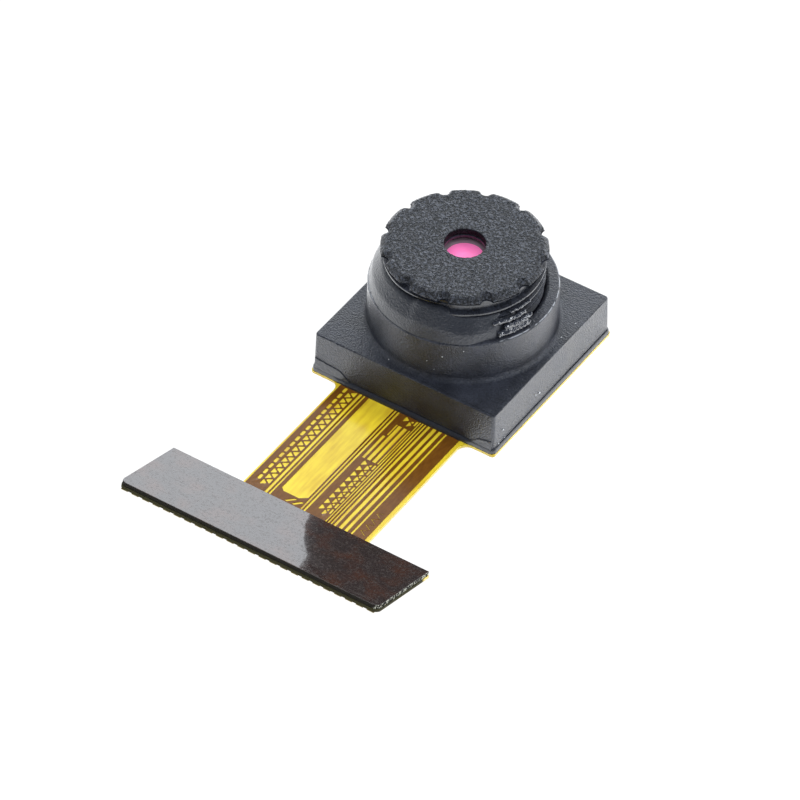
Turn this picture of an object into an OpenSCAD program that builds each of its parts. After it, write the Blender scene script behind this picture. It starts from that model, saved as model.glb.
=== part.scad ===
// Fixed-focus camera module on a flexible printed circuit. All sizes are in millimetres.
// The origin is the centre of the head's underside. X runs along the contact tongue's wide
// edge, the flex leaves the head towards -Y, and the lens looks along +Z.

/* [Flex] */
// Thickness of the polyimide flex
film_t = 0.12; // [0.08:0.01:0.2]
// Film left round the holder on the square pad that carries the head
pad_margin = 0.05; // [-0.25:0.01:0.75]
// Corner radius of the pad
pad_r = 0.3; // [0.1:0.05:0.5]
// Width of the neck between the head and the contact tongue
neck_w = 5.9; // [5.8:0.1:7]
// Length of the flat part of the neck
neck_l = 6.87; // [5.5:0.01:12]
// Radius of the inner corners where the neck leaves the pad
neck_fillet = 0.45; // [0.1:0.05:0.6]
// Thickness of the copper pattern on the flex
copper_t = 0.02; // [0.012:0.002:0.04]
// Pitch of the crossed copper in the open ground areas
lattice_pitch = 0.37; // [0.3:0.005:0.6]
// Width of the copper lines in the open ground areas
lattice_line = 0.075; // [0.05:0.005:0.1]

/* [Contact tongue] */
// Number of contact fingers
contact_count = 24; // [10:1:24]
// Pitch of the contact fingers
contact_pitch = 0.5; // [0.4:0.05:0.5]
// Width of one contact finger
contact_w = 0.32; // [0.2:0.01:0.34]
// Length of one contact finger
contact_l = 3.2; // [2:0.1:3.5]
// Thickness of one contact finger
contact_t = 0.035; // [0.02:0.005:0.05]
// Film left beyond the outer edge of the last finger
tongue_margin = 0.14; // [0.1:0.01:0.4]
// Length of the tongue
tongue_l = 3.78; // [3.7:0.01:6]
// Corner radius at the tongue's free end
tongue_r = 0.3; // [0.1:0.05:0.5]
// Thickness of the stiffener on the tongue
tongue_stiffener_t = 0.18; // [0.1:0.01:0.25]
// Film left showing round the tongue's stiffener
tongue_stiffener_inset = 0.02; // [0.02:0.01:0.2]
// Sideways offset of the tongue from the head's centre line
tongue_x = -0.15; // [-0.2:0.01:0.2]
// Angle that the tongue is bent up by
tongue_tilt = 17; // [5:0.5:25]
// Inner radius of the bend between the neck and the tongue
bend_r = 0.5; // [0.3:0.05:1]

/* [Lens holder] */
// Thickness of the steel stiffener under the head
head_stiffener_t = 0.15; // [0.1:0.01:0.3]
// Inset of the steel stiffener from the pad's edges
head_stiffener_inset = 0.05; // [-0.6:0.01:0.4]
// Width of the square holder at its deck
holder_w = 8.5; // [8:0.05:9.4]
// Mould draft of the holder's walls, as the widening of each side at the foot
holder_draft = 0.05; // [0:0.01:0.1]
// Radius of the holder's upright corners
holder_r = 0.28; // [0.15:0.01:0.5]
// Height of the square holder
holder_h = 1.95; // [1.8:0.05:2.6]
// Outer radius of the round turret
turret_r = 3.84; // [3.7:0.01:3.95]
// Height of the turret above the deck
turret_h = 1.95; // [1.4:0.05:2.6]
// Rounding of the turret's rim
turret_round = 0.12; // [0.05:0.01:0.2]
// Fillet between the turret and the deck
turret_fillet = 0.22; // [0.1:0.01:0.24]
// Lead-in chamfer at the mouth of the threaded bore
bore_lead = 0.15; // [0.12:0.01:0.2]
// Height of the sensor chamber inside the holder
chamber_h = 1.2; // [1.2:0.05:1.3]
// Width of the sensor chamber
chamber_w = 7.3; // [7.2:0.05:7.6]
// Width of the square window above the filter
window_w = 4.4; // [4:0.1:4.8]

/* [Lens barrel] */
// Nominal radius of the lens thread
thread_r = 3.25; // [3.2:0.05:3.3]
// Depth of the thread
thread_depth = 0.2; // [0.15:0.01:0.22]
// Radial clearance of the engaged thread
thread_clearance = 0.03; // [0.02:0.01:0.05]
// Height of the barrel's front face above the rim of the turret
barrel_rise = 1.96; // [1.7:0.01:2.2]
// Depth to which the barrel reaches below the rim
barrel_depth = 1.7; // [1.7:0.05:1.75]
// Outer radius of the grip flange
flange_r = 3.37; // [3.3:0.01:3.5]
// Thickness of the grip flange
flange_t = 0.29; // [0.25:0.01:0.5]
// Radial size of the flange's chamfer
flange_chamfer_r = 0.22; // [0.1:0.01:0.25]
// Height of the flange's chamfer
flange_chamfer_h = 0.2; // [0.1:0.01:0.22]
// Number of grip notches round the flange
notch_count = 12; // [6:1:14]
// Radius of one grip notch, which is scooped out on a slant
notch_r = 0.28; // [0.15:0.01:0.3]
// Slant of the notches
notch_slant = 40; // [20:1:45]
// Radius that the notches reach at the flange's underside
notch_floor_r = 3.17; // [3.15:0.01:3.3]
// Angle of the first notch
notch_turn = 18; // [0:1:30]
// Radius of the front opening
opening_r = 0.82; // [0.6:0.01:1]
// Depth of the front opening
opening_depth = 0.45; // [0.3:0.01:0.5]
// Radius of the relief behind the front opening
relief_r = 1.2; // [1.1:0.05:1.3]
// Depth of the first lens's flange below the front face
lens_seat_depth = 0.72; // [0.65:0.01:0.8]
// Radial clearance of the lenses and rings in the barrel
lens_clearance = 0.02; // [0.01:0.005:0.03]

/* [Image sensor] */
// Room in the chamber beside the sensor, for the capacitors
sensor_side_room = 0.8; // [0.75:0.05:1.15]
// Room in the chamber in front of and behind the sensor
sensor_end_room = 0.55; // [0.45:0.05:1.15]
// Thickness of the silicon
die_t = 0.35; // [0.25:0.05:0.4]
// Thickness of the dam between the silicon and its glass
dam_t = 0.05; // [0.03:0.01:0.06]
// Thickness of the cover glass
cover_t = 0.4; // [0.3:0.05:0.42]
// Radius of one solder ball
ball_r = 0.13; // [0.1:0.01:0.15]
// Standing height of the soldered balls
ball_h = 0.16; // [0.14:0.01:0.18]
// Width of the square infrared filter
filter_w = 5.5; // [5.2:0.1:5.8]
// Thickness of the infrared filter
filter_t = 0.3; // [0.2:0.01:0.3]
// Gap round the filter, filled by its adhesive
filter_gap = 0.06; // [0.04:0.01:0.1]

/* [Hidden] */

$fn = 96;
EPS = 0.01;
// Straight steps in the side view of the flex's bend
BEND_STEPS = 6;

// Heights of the stack, from the underside of the head upwards
film_top = head_stiffener_t + film_t;
deck_z = film_top + holder_h;
rim_z = deck_z + turret_h;
front_z = rim_z + barrel_rise;
barrel_z = rim_z - barrel_depth;
flange_z = front_z - flange_t;
chamber_z = film_top + chamber_h;

// Thread radii: the exposed neck shows the root, and the engaged part is a plain running fit
root_r = thread_r - thread_depth;
engaged_r = thread_r - thread_clearance;
// Chamfer at the barrel's lower end, and the [bottom, top] of the thread's run-out below the rim
barrel_lead = 0.15;
runout = [0.1, 0.02];

// Plan of the flex
pad_w = holder_w + 2 * pad_margin;
head_stiffener_w = pad_w - 2 * head_stiffener_inset;
pad_front = -pad_w / 2;
bend_y = pad_front - neck_l;
tongue_w = (contact_count - 1) * contact_pitch + contact_w + 2 * tongue_margin;
tongue_y = bend_y - bend_r * sin(tongue_tilt);
tongue_z = film_top + bend_r * (1 - cos(tongue_tilt));

// The lens stack: radius and thickness of each flange, from the front
element_r = [1.7, 1.95, 2.2, 2.45];
element_t = [0.3, 0.4, 0.5, 0.6];
spacer_t = [0.06, 0.12, 0.12];
spacer_hole_r = [0.6, 1.32, 1.72];
retainer_t = 0.45;
retainer_hole_r = 1.95;
seat_z = front_z - lens_seat_depth;
// Top of each element's flange
element_z = [
    seat_z,
    seat_z - element_t[0] - spacer_t[0],
    seat_z - element_t[0] - element_t[1] - spacer_t[0] - spacer_t[1],
    seat_z - element_t[0] - element_t[1] - element_t[2] - spacer_t[0] - spacer_t[1] - spacer_t[2]
];
// Radius of each optical zone and the rise of its front and back surfaces out of the flange
zone_r = [0.78, 0.95, 1.3, 1.7];
front_rise = [0.14, -0.1, 0.03, 0.08];
back_rise = [-0.08, 0.06, -0.1, 0.1];

// The image sensor's stack
sensor_w = chamber_w - 2 * sensor_side_room;
sensor_l = chamber_w - 2 * sensor_end_room;
ball_pitch = 0.8;
// Least distance from the package's edge to the middle of an outer ball
ball_edge = 0.45;
ball_columns = 1 + floor((sensor_w - 2 * ball_edge) / ball_pitch);
ball_rows = 1 + floor((sensor_l - 2 * ball_edge) / ball_pitch);
die_z = film_top + ball_h;
dam_z = die_z + die_t;
cover_z = dam_z + dam_t;
dam_w = 0.45;

// Decoupling capacitors: body size, terminal length and places on the pad
capacitor = [0.5, 1.0, 0.5];
terminal_l = 0.25;
capacitor_x = (sensor_w / 2 + chamber_w / 2) / 2;
capacitor_y = [-2.1, 1.5];

// Adhesive round the holder's foot: reach beyond the wall at the sides and at the front,
// heights of both, and height and thickness of the two smears at the front corners
bead_side = 0.07;
bead_front = 0.08;
bead_front_h = 0.06;
bead_h = 0.28;
smear_h = 0.74;
smear_t = 0.04;

// Adhesive that locks the thread: its sweep, foot and top
lock_start = 161.25;
lock_sweep = 165;
lock_foot = 0.38;
lock_top = 0.85;

// Copper pattern, as [left, right] pairs across the neck
copper_start = -holder_w / 2 - holder_draft - bead_front;
ground_left = [-2.87, -1.945];
ground_middle = [-0.02, 0.93];
ground_right = [2.21, 2.78];
plain_traces = [[-1.825, -1.75], [-1.675, -1.51], [-0.32, -0.25], [-0.18, -0.11],
                [1.24, 1.315], [1.43, 1.56], [1.72, 1.825], [1.97, 2.125]];
fine_traces = [[0.985, 1.045], [1.11, 1.175]];
power_gap = [-1.51, -0.32];
power_end = bend_y + 0.5;

// Windows in the copper grounds: slots as [left, right] and teeth as [base, tip] across the neck,
// and the [lower, upper] ends of the long slots
left_slot = [-2.62, -2.48];
left_teeth = [[-2.03, -2.245], [-2.365, -2.165]];
middle_slot = [0.8, 0.885];
middle_teeth = [[0.31, 0.5], [0.57, 0.725], [0.735, 0.64]];
long_slots = [[0.34, 0.5], [0.59, 0.75], [0.83, 0.89]];
long_slot_ends = [-7.35, -5.05];
stepped_slots = [[0.12, 0.24, -7.35, -5.85], [0.23, 0.3, -5.75, -5.05]];
zigzag_x = [2.34, 2.66];
window_corner = 0.03;

// Points of an arc from angle a to angle b
function arc(r, a, b, n, cx = 0, cy = 0) =
    [for (i = [0:n]) let (t = a + (b - a) * i / n) [cx + r * cos(t), cy + r * sin(t)]];

// Points of a shallow lens surface from its axis out to radius r, rising by h above z
function lens_surface(r, h, z, n = 8) =
    [for (i = [0:n]) let (x = r * i / n) [x, z + h * (1 - pow(x / r, 2))]];

function reversed(list) = [for (i = [len(list) - 1:-1:0]) list[i]];

// A flat rounded rectangle centred on the origin
module rounded_rect(w, l, r) {
    square([w - 2 * r, l], center = true);
    square([w, l - 2 * r], center = true);
    for (x = [-1, 1], y = [-1, 1])
        translate([x * (w / 2 - r), y * (l / 2 - r)]) circle(r, $fn = 48);
}

// The quarter fillet that fills an inner corner; it grows into the +X +Y quadrant
module corner_fillet(r) {
    difference() {
        translate([-EPS, -EPS]) square(r + EPS);
        translate([r, r]) circle(r, $fn = 48);
    }
}

// ---- Lens barrel and optics ----

// Body of the barrel: front face, grip flange, exposed neck and engaged thread
module barrel_body() {
    rotate_extrude()
        polygon([
            [0, barrel_z],
            [engaged_r - barrel_lead, barrel_z],
            [engaged_r, barrel_z + barrel_lead],
            [engaged_r, rim_z - runout[0]],
            [root_r, rim_z - runout[1]],
            [root_r, flange_z],
            [flange_r, flange_z],
            [flange_r, front_z - flange_chamfer_h],
            [flange_r - flange_chamfer_r, front_z],
            [0, front_z]
        ]);
}

// Stepped chamber that takes the lenses from below
module barrel_chamber() {
    translate([0, 0, front_z - opening_depth]) cylinder(r = opening_r, h = opening_depth + EPS);
    translate([0, 0, seat_z - EPS])
        cylinder(r = relief_r, h = lens_seat_depth - opening_depth + EPS);
    for (i = [0:3])
        translate([0, 0, barrel_z - EPS])
            cylinder(r = element_r[i] + lens_clearance, h = element_z[i] - barrel_z + EPS);
}

module lens_barrel() color("#2e3035") {
    difference() {
        barrel_body();
        barrel_chamber();
        for (i = [0:notch_count - 1])
            rotate([0, 0, notch_turn + i * 360 / notch_count])
                translate([notch_floor_r + notch_r / cos(notch_slant), 0, flange_z])
                    rotate([0, -notch_slant, 0])
                        cylinder(r = notch_r, h = 4 * flange_t, center = true, $fn = 32);
    }
}

// One moulded lens: two shallow surfaces inside a flat flange
module lens_element(i) {
    top = element_z[i];
    bottom = top - element_t[i];
    rotate_extrude()
        polygon(concat(
            lens_surface(zone_r[i], front_rise[i], top),
            [[element_r[i], top], [element_r[i], bottom]],
            reversed(lens_surface(zone_r[i], -back_rise[i], bottom))
        ));
}

module lens_element_1() color("#e86aa8") lens_element(0);
module lens_element_2() color("#cfd8dc") lens_element(1);
module lens_element_3() color("#cfd8dc") lens_element(2);
module lens_element_4() color("#cfd8dc") lens_element(3);

// A thin ring under element i
module ring_under(i, hole_r, t) {
    translate([0, 0, element_z[i] - element_t[i] - t])
        difference() {
            cylinder(r = element_r[i], h = t);
            translate([0, 0, -EPS]) cylinder(r = hole_r, h = t + 2 * EPS);
        }
}

module aperture_stop() color("#151515") ring_under(0, spacer_hole_r[0], spacer_t[0]);
module spacer_ring_2() color("#1c1c1c") ring_under(1, spacer_hole_r[1], spacer_t[1]);
module spacer_ring_3() color("#1c1c1c") ring_under(2, spacer_hole_r[2], spacer_t[2]);
module lens_retainer() color("#202224") ring_under(3, retainer_hole_r, retainer_t);

// ---- Lens holder ----

// The drafted square block of the holder
module holder_block() {
    hull()
        for (x = [-1, 1], y = [-1, 1])
            translate([x * (holder_w / 2 - holder_r), y * (holder_w / 2 - holder_r), film_top])
                cylinder(r1 = holder_r + holder_draft, r2 = holder_r, h = holder_h, $fn = 32);
}

// Outside of the turret, with its foot fillet and rounded rim
module turret_body() {
    rotate_extrude()
        polygon(concat(
            [[0, deck_z - 0.3], [turret_r + turret_fillet, deck_z - 0.3]],
            reversed(arc(turret_fillet, 180, 270, 8, turret_r + turret_fillet, deck_z + turret_fillet)),
            arc(turret_round, 0, 90, 6, turret_r - turret_round, rim_z - turret_round),
            [[0, rim_z]]
        ));
}

module lens_holder() color("#303237") {
    filter_seat_w = filter_w + 2 * filter_gap;
    difference() {
        union() {
            holder_block();
            turret_body();
        }
        translate([0, 0, film_top - EPS])
            linear_extrude(chamber_h + EPS) rounded_rect(chamber_w, chamber_w, 0.4);
        translate([0, 0, chamber_z - EPS])
            linear_extrude(filter_t + EPS) rounded_rect(filter_seat_w, filter_seat_w, 0.2);
        translate([0, 0, chamber_z])
            linear_extrude(deck_z - chamber_z) rounded_rect(window_w, window_w, 0.5);
        translate([0, 0, deck_z]) cylinder(r = thread_r, h = turret_h + EPS);
        translate([0, 0, rim_z - bore_lead])
            cylinder(r1 = thread_r, r2 = thread_r + bore_lead + EPS, h = bore_lead + EPS);
    }
}

// Fills the bore's lead-in and slopes from the rim up to the barrel's neck
module thread_lock_adhesive() color("#26282b") {
    rotate([0, 0, lock_start])
        rotate_extrude(angle = lock_sweep)
            polygon([
                [root_r, rim_z - runout[1]],
                [engaged_r, rim_z - runout[0]],
                [engaged_r, rim_z - bore_lead],
                [thread_r, rim_z - bore_lead],
                [thread_r + bore_lead, rim_z],
                [thread_r + lock_foot, rim_z],
                [thread_r + lock_foot * 0.45, rim_z + lock_top * 0.25],
                [thread_r + lock_foot * 0.15, rim_z + lock_top * 0.6],
                [thread_r, rim_z + lock_top],
                [root_r, rim_z + lock_top]
            ]);
}

module ir_filter() color("#9fd6c9") {
    translate([0, 0, chamber_z]) linear_extrude(filter_t) square(filter_w, center = true);
}

// Adhesive in the gap round the filter, in four runs that leave the corners open
module filter_adhesive() color("#d8d2c0") {
    run_l = filter_w - 0.8;
    for (a = [0:90:270])
        rotate([0, 0, a])
            translate([filter_w / 2, -run_l / 2, chamber_z])
                cube([filter_gap, run_l, filter_t * 0.8]);
}

// Sloping bead round the foot, lower along the front, and two smears on the front wall near its corners
module holder_adhesive() color("#2b2d30") {
    foot = holder_w / 2 + holder_draft;
    difference() {
        union() {
            difference() {
                hull() {
                    translate([0, 0, film_top]) linear_extrude(0.04)
                        rounded_rect(2 * (foot + bead_side), 2 * (foot + bead_side), 0.4);
                    translate([0, 0, film_top]) linear_extrude(bead_h)
                        rounded_rect(2 * foot, 2 * foot, 0.3);
                }
                translate([-foot - 1, -foot - 1, 0]) cube([2 * foot + 2, 1, holder_h]);
            }
            side_extrude(-foot + 0.15, foot - 0.15, [
                [-foot + 0.1, film_top], [-foot - bead_front, film_top],
                [-foot - bead_front, film_top + 0.02], [-foot + 0.1, film_top + bead_front_h + 0.06]
            ]);
            for (s = [[-holder_w / 2 + 0.1, -2.5], [3.1, holder_w / 2 - 0.1]])
                hull() {
                    translate([s[0], -foot - bead_front * 0.9, film_top])
                        cube([s[1] - s[0], 0.2, 0.1]);
                    translate([s[0], -foot - smear_t, film_top])
                        cube([s[1] - s[0], 0.2, smear_h]);
                }
        }
        holder_block();
        translate([0, 0, film_top - EPS]) linear_extrude(1) square(chamber_w, center = true);
    }
}

// ---- Image sensor and its parts ----

module centred_block(w, l, z, t) {
    translate([-w / 2, -l / 2, z]) cube([w, l, t]);
}

module sensor_die() color("#3a3d45") centred_block(sensor_w, sensor_l, die_z, die_t);

module sensor_cover_glass() color("#c4d4d8") centred_block(sensor_w, sensor_l, cover_z, cover_t);

module sensor_dam() color("#1b1b1b") {
    difference() {
        centred_block(sensor_w, sensor_l, dam_z, dam_t);
        centred_block(sensor_w - 2 * dam_w, sensor_l - 2 * dam_w, dam_z - EPS, dam_t + 2 * EPS);
    }
}

// Ball grid without its middle, each ball flattened between the pad and the package
module sensor_solder_balls() color("#b9bcc0") {
    for (i = [0:ball_columns - 1], j = [0:ball_rows - 1])
        if (i == 0 || i == ball_columns - 1 || j == 0 || j == ball_rows - 1)
            translate([(i - (ball_columns - 1) / 2) * ball_pitch,
                       (j - (ball_rows - 1) / 2) * ball_pitch, film_top])
                intersection() {
                    translate([0, 0, ball_h / 2]) sphere(ball_r, $fn = 32);
                    cylinder(r = 2 * ball_r, h = ball_h);
                }
}

// Calls its children at each capacitor's centre on the pad
module at_capacitors() {
    for (x = [-capacitor_x, capacitor_x], y = capacitor_y)
        translate([x, y, film_top]) children();
}

module capacitor_bodies() color("#a9825c") {
    at_capacitors()
        translate([-capacitor[0] / 2, -capacitor[1] / 2 + terminal_l, 0])
            cube([capacitor[0], capacitor[1] - 2 * terminal_l, capacitor[2]]);
}

module capacitor_terminals() color("#c8c8c8") {
    at_capacitors()
        for (y = [-capacitor[1] / 2, capacitor[1] / 2 - terminal_l])
            translate([-capacitor[0] / 2, y, 0]) cube([capacitor[0], terminal_l, capacitor[2]]);
}

// ---- Flex ----

// Calls its children in the tongue's own frame: film top at z = 0, free end towards -Y
module on_tongue() {
    translate([tongue_x, tongue_y, tongue_z]) rotate([-tongue_tilt, 0, 0]) children();
}

// Side view of the bend, as [y, z] points at height h over the film's top
function bend_points(h) =
    [for (i = [0:BEND_STEPS]) let (a = tongue_tilt * i / BEND_STEPS)
        [bend_y - (bend_r - h) * sin(a), film_top + bend_r - (bend_r - h) * cos(a)]];

// Side view of the tongue at distance l from the bend and height h over the film's top
function tongue_point(l, h) =
    [tongue_y - l * cos(tongue_tilt) + h * sin(tongue_tilt),
     tongue_z + l * sin(tongue_tilt) + h * cos(tongue_tilt)];

// Sweeps a side view, given as [y, z] points, from x0 to x1
module side_extrude(x0, x1, points) {
    translate([x0, 0, 0]) rotate([90, 0, 90]) linear_extrude(x1 - x0) polygon(points);
}

// Plan of the tongue in its own frame: square at the neck, rounded at the free end
module tongue_plan(inset) {
    w = tongue_w - 2 * inset;
    l = tongue_l - inset;
    translate([-w / 2, -l + tongue_r]) square([w, l - tongue_r]);
    translate([-w / 2 + tongue_r, -l]) square([w - 2 * tongue_r, tongue_r + EPS]);
    for (x = [-1, 1])
        translate([x * (w / 2 - tongue_r), -l + tongue_r]) circle(tongue_r, $fn = 48);
}

// The film in one folded piece: its side view is cut to the plan of the neck and the tongue
module flex_film() color("#d9a832") {
    root_y = pad_front + pad_r;
    reach = tongue_l + 0.5;
    translate([0, 0, head_stiffener_t]) linear_extrude(film_t) {
        rounded_rect(pad_w, pad_w, pad_r);
        for (x = [-1, 1])
            mirror([x < 0 ? 1 : 0, 0])
                translate([neck_w / 2, pad_front]) mirror([0, 1]) corner_fillet(neck_fillet);
    }
    intersection() {
        side_extrude(-tongue_w, tongue_w, concat(
            [[root_y, film_top]], bend_points(0), [tongue_point(reach, 0), tongue_point(reach, -film_t)],
            reversed(bend_points(-film_t)), [[root_y, head_stiffener_t]]
        ));
        union() {
            translate([-neck_w / 2, tongue_y - 0.5, -1]) cube([neck_w, root_y - tongue_y + 1, 3]);
            on_tongue() translate([0, 0, -1]) linear_extrude(2) tongue_plan(0);
        }
    }
}

// Heights of the rows of windows between y0 and y1, one for each pitch of the lattice
function window_rows(y0, y1) =
    [for (k = [0:floor((y0 - y1) / lattice_pitch) - 1]) y0 - (k + 0.5) * lattice_pitch];

// A window in the copper with a flat base at x0 and a blunt tip at x1
module tip_window(x0, x1, y, half) {
    inward = window_corner * sign(x1 - x0);
    polygon([
        [x0, y - half + window_corner], [x0 + inward, y - half], [x1, y - window_corner],
        [x1, y + window_corner], [x0 + inward, y + half], [x0, y + half - window_corner]
    ]);
}

// A slot in the copper with blunt ends
module slot_window(x0, x1, y) {
    half = (lattice_pitch - lattice_line) / 2;
    corner = (x1 - x0) * 0.3;
    polygon([
        [x0, y - half + corner], [x0 + corner, y - half], [x1 - corner, y - half], [x1, y - half + corner],
        [x1, y + half - corner], [x1 - corner, y + half], [x0 + corner, y + half], [x0, y + half - corner]
    ]);
}

// The left ground's windows: a column of slots beside a zigzag line
module zigzag_windows(y0, y1) {
    half = (lattice_pitch - lattice_line) / 2;
    for (y = window_rows(y0, y1)) {
        slot_window(left_slot[0], left_slot[1], y);
        for (i = [0, 1])
            tip_window(left_teeth[i][0], left_teeth[i][1], y - i * lattice_pitch / 2, half);
    }
}

// The middle ground's windows: two columns set half a pitch apart, small ones between, and slots
module crossed_windows(y0, y1) {
    half = (lattice_pitch - lattice_line) / 2;
    for (y = window_rows(y0, y1)) {
        for (i = [0, 1])
            tip_window(middle_teeth[i][0], middle_teeth[i][1], y - i * lattice_pitch / 2, half);
        tip_window(middle_teeth[2][0], middle_teeth[2][1], y, half / 2);
        slot_window(middle_slot[0], middle_slot[1], y);
    }
}

// A thin zigzag gap in the right ground, from y0 down to y1
module zigzag_gap(y0, y1) {
    gap = 0.045;
    rise = lattice_pitch / 2 - window_corner;
    for (y = window_rows(y0, y1), m = [0, 1])
        translate([0, y]) mirror([0, m])
            polygon([[zigzag_x[0], 0], [zigzag_x[0] + gap, 0], [zigzag_x[1], rise], [zigzag_x[1] - gap, rise]]);
}

// A band of copper along the whole flat neck
module copper_band(pair) {
    translate([pair[0], bend_y]) square([pair[1] - pair[0], copper_start - bend_y]);
}

module copper_plan() {
    for (pair = concat(plain_traces, fine_traces)) copper_band(pair);
    difference() {
        copper_band(ground_left);
        zigzag_windows(copper_start - 0.03, bend_y + 0.25);
    }
    difference() {
        copper_band(ground_middle);
        // one row of windows near the head, the long slots, and the long lattice below them
        crossed_windows(copper_start - 0.03, copper_start - 0.06 - lattice_pitch);
        for (slot = stepped_slots)
            translate([slot[0], slot[2]]) square([slot[1] - slot[0], slot[3] - slot[2]]);
        for (slot = long_slots)
            translate([slot[0], long_slot_ends[0]])
                square([slot[1] - slot[0], long_slot_ends[1] - long_slot_ends[0]]);
        crossed_windows(long_slot_ends[0] - 0.05, bend_y + 0.25);
    }
    difference() {
        copper_band(ground_right);
        zigzag_gap(bend_y + 1.7, bend_y + 0.1);
    }
    // foot of the wide bare gap, with its chamfered end and two slanting gaps
    difference() {
        translate([power_gap[0], bend_y]) square([power_gap[1] - power_gap[0], power_end - bend_y + 0.2]);
        polygon([
            [power_gap[0] - EPS, power_end + 0.2 + EPS], [power_gap[0] - EPS, power_end + 0.15],
            [power_gap[0] + 0.17, power_end], [power_gap[1] - 0.3, power_end],
            [power_gap[1] - 0.02, power_end + 0.2 + EPS]
        ]);
        for (x = [0, 0.34])
            translate([-0.75 + x, bend_y + 0.1])
                polygon([[-0.3, 0], [-0.16, 0], [0.14, 0.3], [0, 0.3]]);
    }
}

module flex_copper() color("#6b4420") {
    translate([0, 0, film_top]) linear_extrude(copper_t) copper_plan();
    for (pair = concat(plain_traces, [ground_left, ground_middle, ground_right]))
        side_extrude(pair[0], pair[1], concat(bend_points(copper_t), reversed(bend_points(0))));
}

module head_stiffener() color("#8f9296") {
    linear_extrude(head_stiffener_t) rounded_rect(head_stiffener_w, head_stiffener_w, pad_r);
}

module contact_stiffener() color("#2a1d16") {
    on_tongue() linear_extrude(tongue_stiffener_t) tongue_plan(tongue_stiffener_inset);
}

module contact_fingers() color("#d8b04a") {
    on_tongue()
        for (i = [0:contact_count - 1])
            translate([(i - (contact_count - 1) / 2) * contact_pitch - contact_w / 2,
                       -tongue_l, -film_t - contact_t])
                cube([contact_w, contact_l, contact_t]);
}

lens_barrel();
lens_element_1();
lens_element_2();
lens_element_3();
lens_element_4();
aperture_stop();
spacer_ring_2();
spacer_ring_3();
lens_retainer();
lens_holder();
thread_lock_adhesive();
ir_filter();
filter_adhesive();
holder_adhesive();
sensor_cover_glass();
sensor_dam();
sensor_die();
sensor_solder_balls();
capacitor_bodies();
capacitor_terminals();
flex_film();
flex_copper();
head_stiffener();
contact_stiffener();
contact_fingers();
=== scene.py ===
"""Dresses a packed fixed-focus camera module: lens barrel, square head, printed flex and contact tongue."""

import logging
import math
from dataclasses import dataclass, field
from enum import Enum
from typing import Any, Callable

import bmesh
import bpy
from bpy.types import Material, Node, NodeSocket, NodeTree, Object, Texture
from mathutils import Matrix, Vector


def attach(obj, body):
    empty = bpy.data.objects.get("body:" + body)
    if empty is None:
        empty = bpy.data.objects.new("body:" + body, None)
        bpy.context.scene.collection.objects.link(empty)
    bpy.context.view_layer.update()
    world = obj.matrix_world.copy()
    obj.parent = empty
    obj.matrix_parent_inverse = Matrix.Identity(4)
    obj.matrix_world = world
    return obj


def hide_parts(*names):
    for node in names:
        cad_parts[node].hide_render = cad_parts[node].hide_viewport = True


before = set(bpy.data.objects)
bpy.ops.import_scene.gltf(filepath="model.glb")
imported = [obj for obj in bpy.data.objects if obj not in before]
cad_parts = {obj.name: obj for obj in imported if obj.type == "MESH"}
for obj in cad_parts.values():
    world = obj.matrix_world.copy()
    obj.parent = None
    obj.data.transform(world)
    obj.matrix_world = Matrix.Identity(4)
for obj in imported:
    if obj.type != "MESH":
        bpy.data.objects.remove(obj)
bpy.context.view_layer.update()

log = logging.getLogger("camera_module")

MM = 0.001
# Tint of all the studio's light
COOL = (0.91, 0.95, 1.0, 1.0)
BODY = "root"
# The Mix node's colour inputs by number, because its float, vector and colour ones share their names
MIX_FACTOR, MIX_A, MIX_B = 0, 6, 7
# What makes a Mix node blend colours: its output and its setting
COLOURS = {"output": 2, "data_type": "RGBA"}
# Specular IOR Level of an ordinary surface
PLAIN_GLOSS = 0.5
# Heights of the film's two faces and of the holder's deck, in millimetres
FILM_BOTTOM, FILM_TOP, DECK = 0.15, 0.27, 2.22
# Points of the CAD meshes closer than this count as one place
NEAR = 0.01 * MM


class Slot(Enum):
    """The record's material slots."""

    BARREL = "barrel_plastic"
    HOLDER = "holder_plastic"
    ADHESIVE = "black_adhesive"
    CLEAR_ADHESIVE = "clear_adhesive"
    STIFFENER = "dark_polyimide"
    FILM = "polyimide"
    COPPER = "flex_copper"
    STEEL = "stiffener_steel"


# ---------------------------------------------------------------- tools


def linear(code: str) -> tuple[float, float, float, float]:
    """Turns an sRGB hex colour to linear light.

    Args:
        code: the colour, written "#rrggbb".

    Returns:
        Red, green, blue and an alpha of 1, in linear light.
    """
    parts = [int(code[i : i + 2], 16) / 255 for i in (1, 3, 5)]
    red, green, blue = (c / 12.92 if c <= 0.04045 else ((c + 0.055) / 1.055) ** 2.4 for c in parts)
    return red, green, blue, 1.0


def per_mm(size_mm: float) -> float:
    """Gives the noise scale that draws features of about a real size.

    Args:
        size_mm: width of one feature in millimetres.

    Returns:
        The scale for a texture that reads metres.
    """
    return 1 / (size_mm * MM)


def feed(node: Node, values: dict[str | int, Any]) -> None:
    """Fills a node's inputs.

    Args:
        node: the node.
        values: for each input, the socket that feeds it, the constant it holds, or its colour's hex code.
    """
    for key, value in values.items():
        if isinstance(value, NodeSocket):
            node.id_data.links.new(value, node.inputs[key])
        else:
            node.inputs[key].default_value = linear(value) if isinstance(value, str) else value


def add_node(tree: NodeTree, kind: str, values: dict[str | int, Any] | None = None, output: str | int = 0,
             **settings: Any) -> NodeSocket:
    """Adds one shader node.

    Args:
        tree: the node tree it goes in.
        kind: the node's type name, without ShaderNode.
        values: what fills its inputs, as feed takes it.
        output: the output that is asked for.
        settings: values of the node's own properties.

    Returns:
        That output.
    """
    made = tree.nodes.new("ShaderNode" + kind)
    for name, value in settings.items():
        setattr(made, name, value)
    feed(made, values or {})
    return made.outputs[output]


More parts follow.
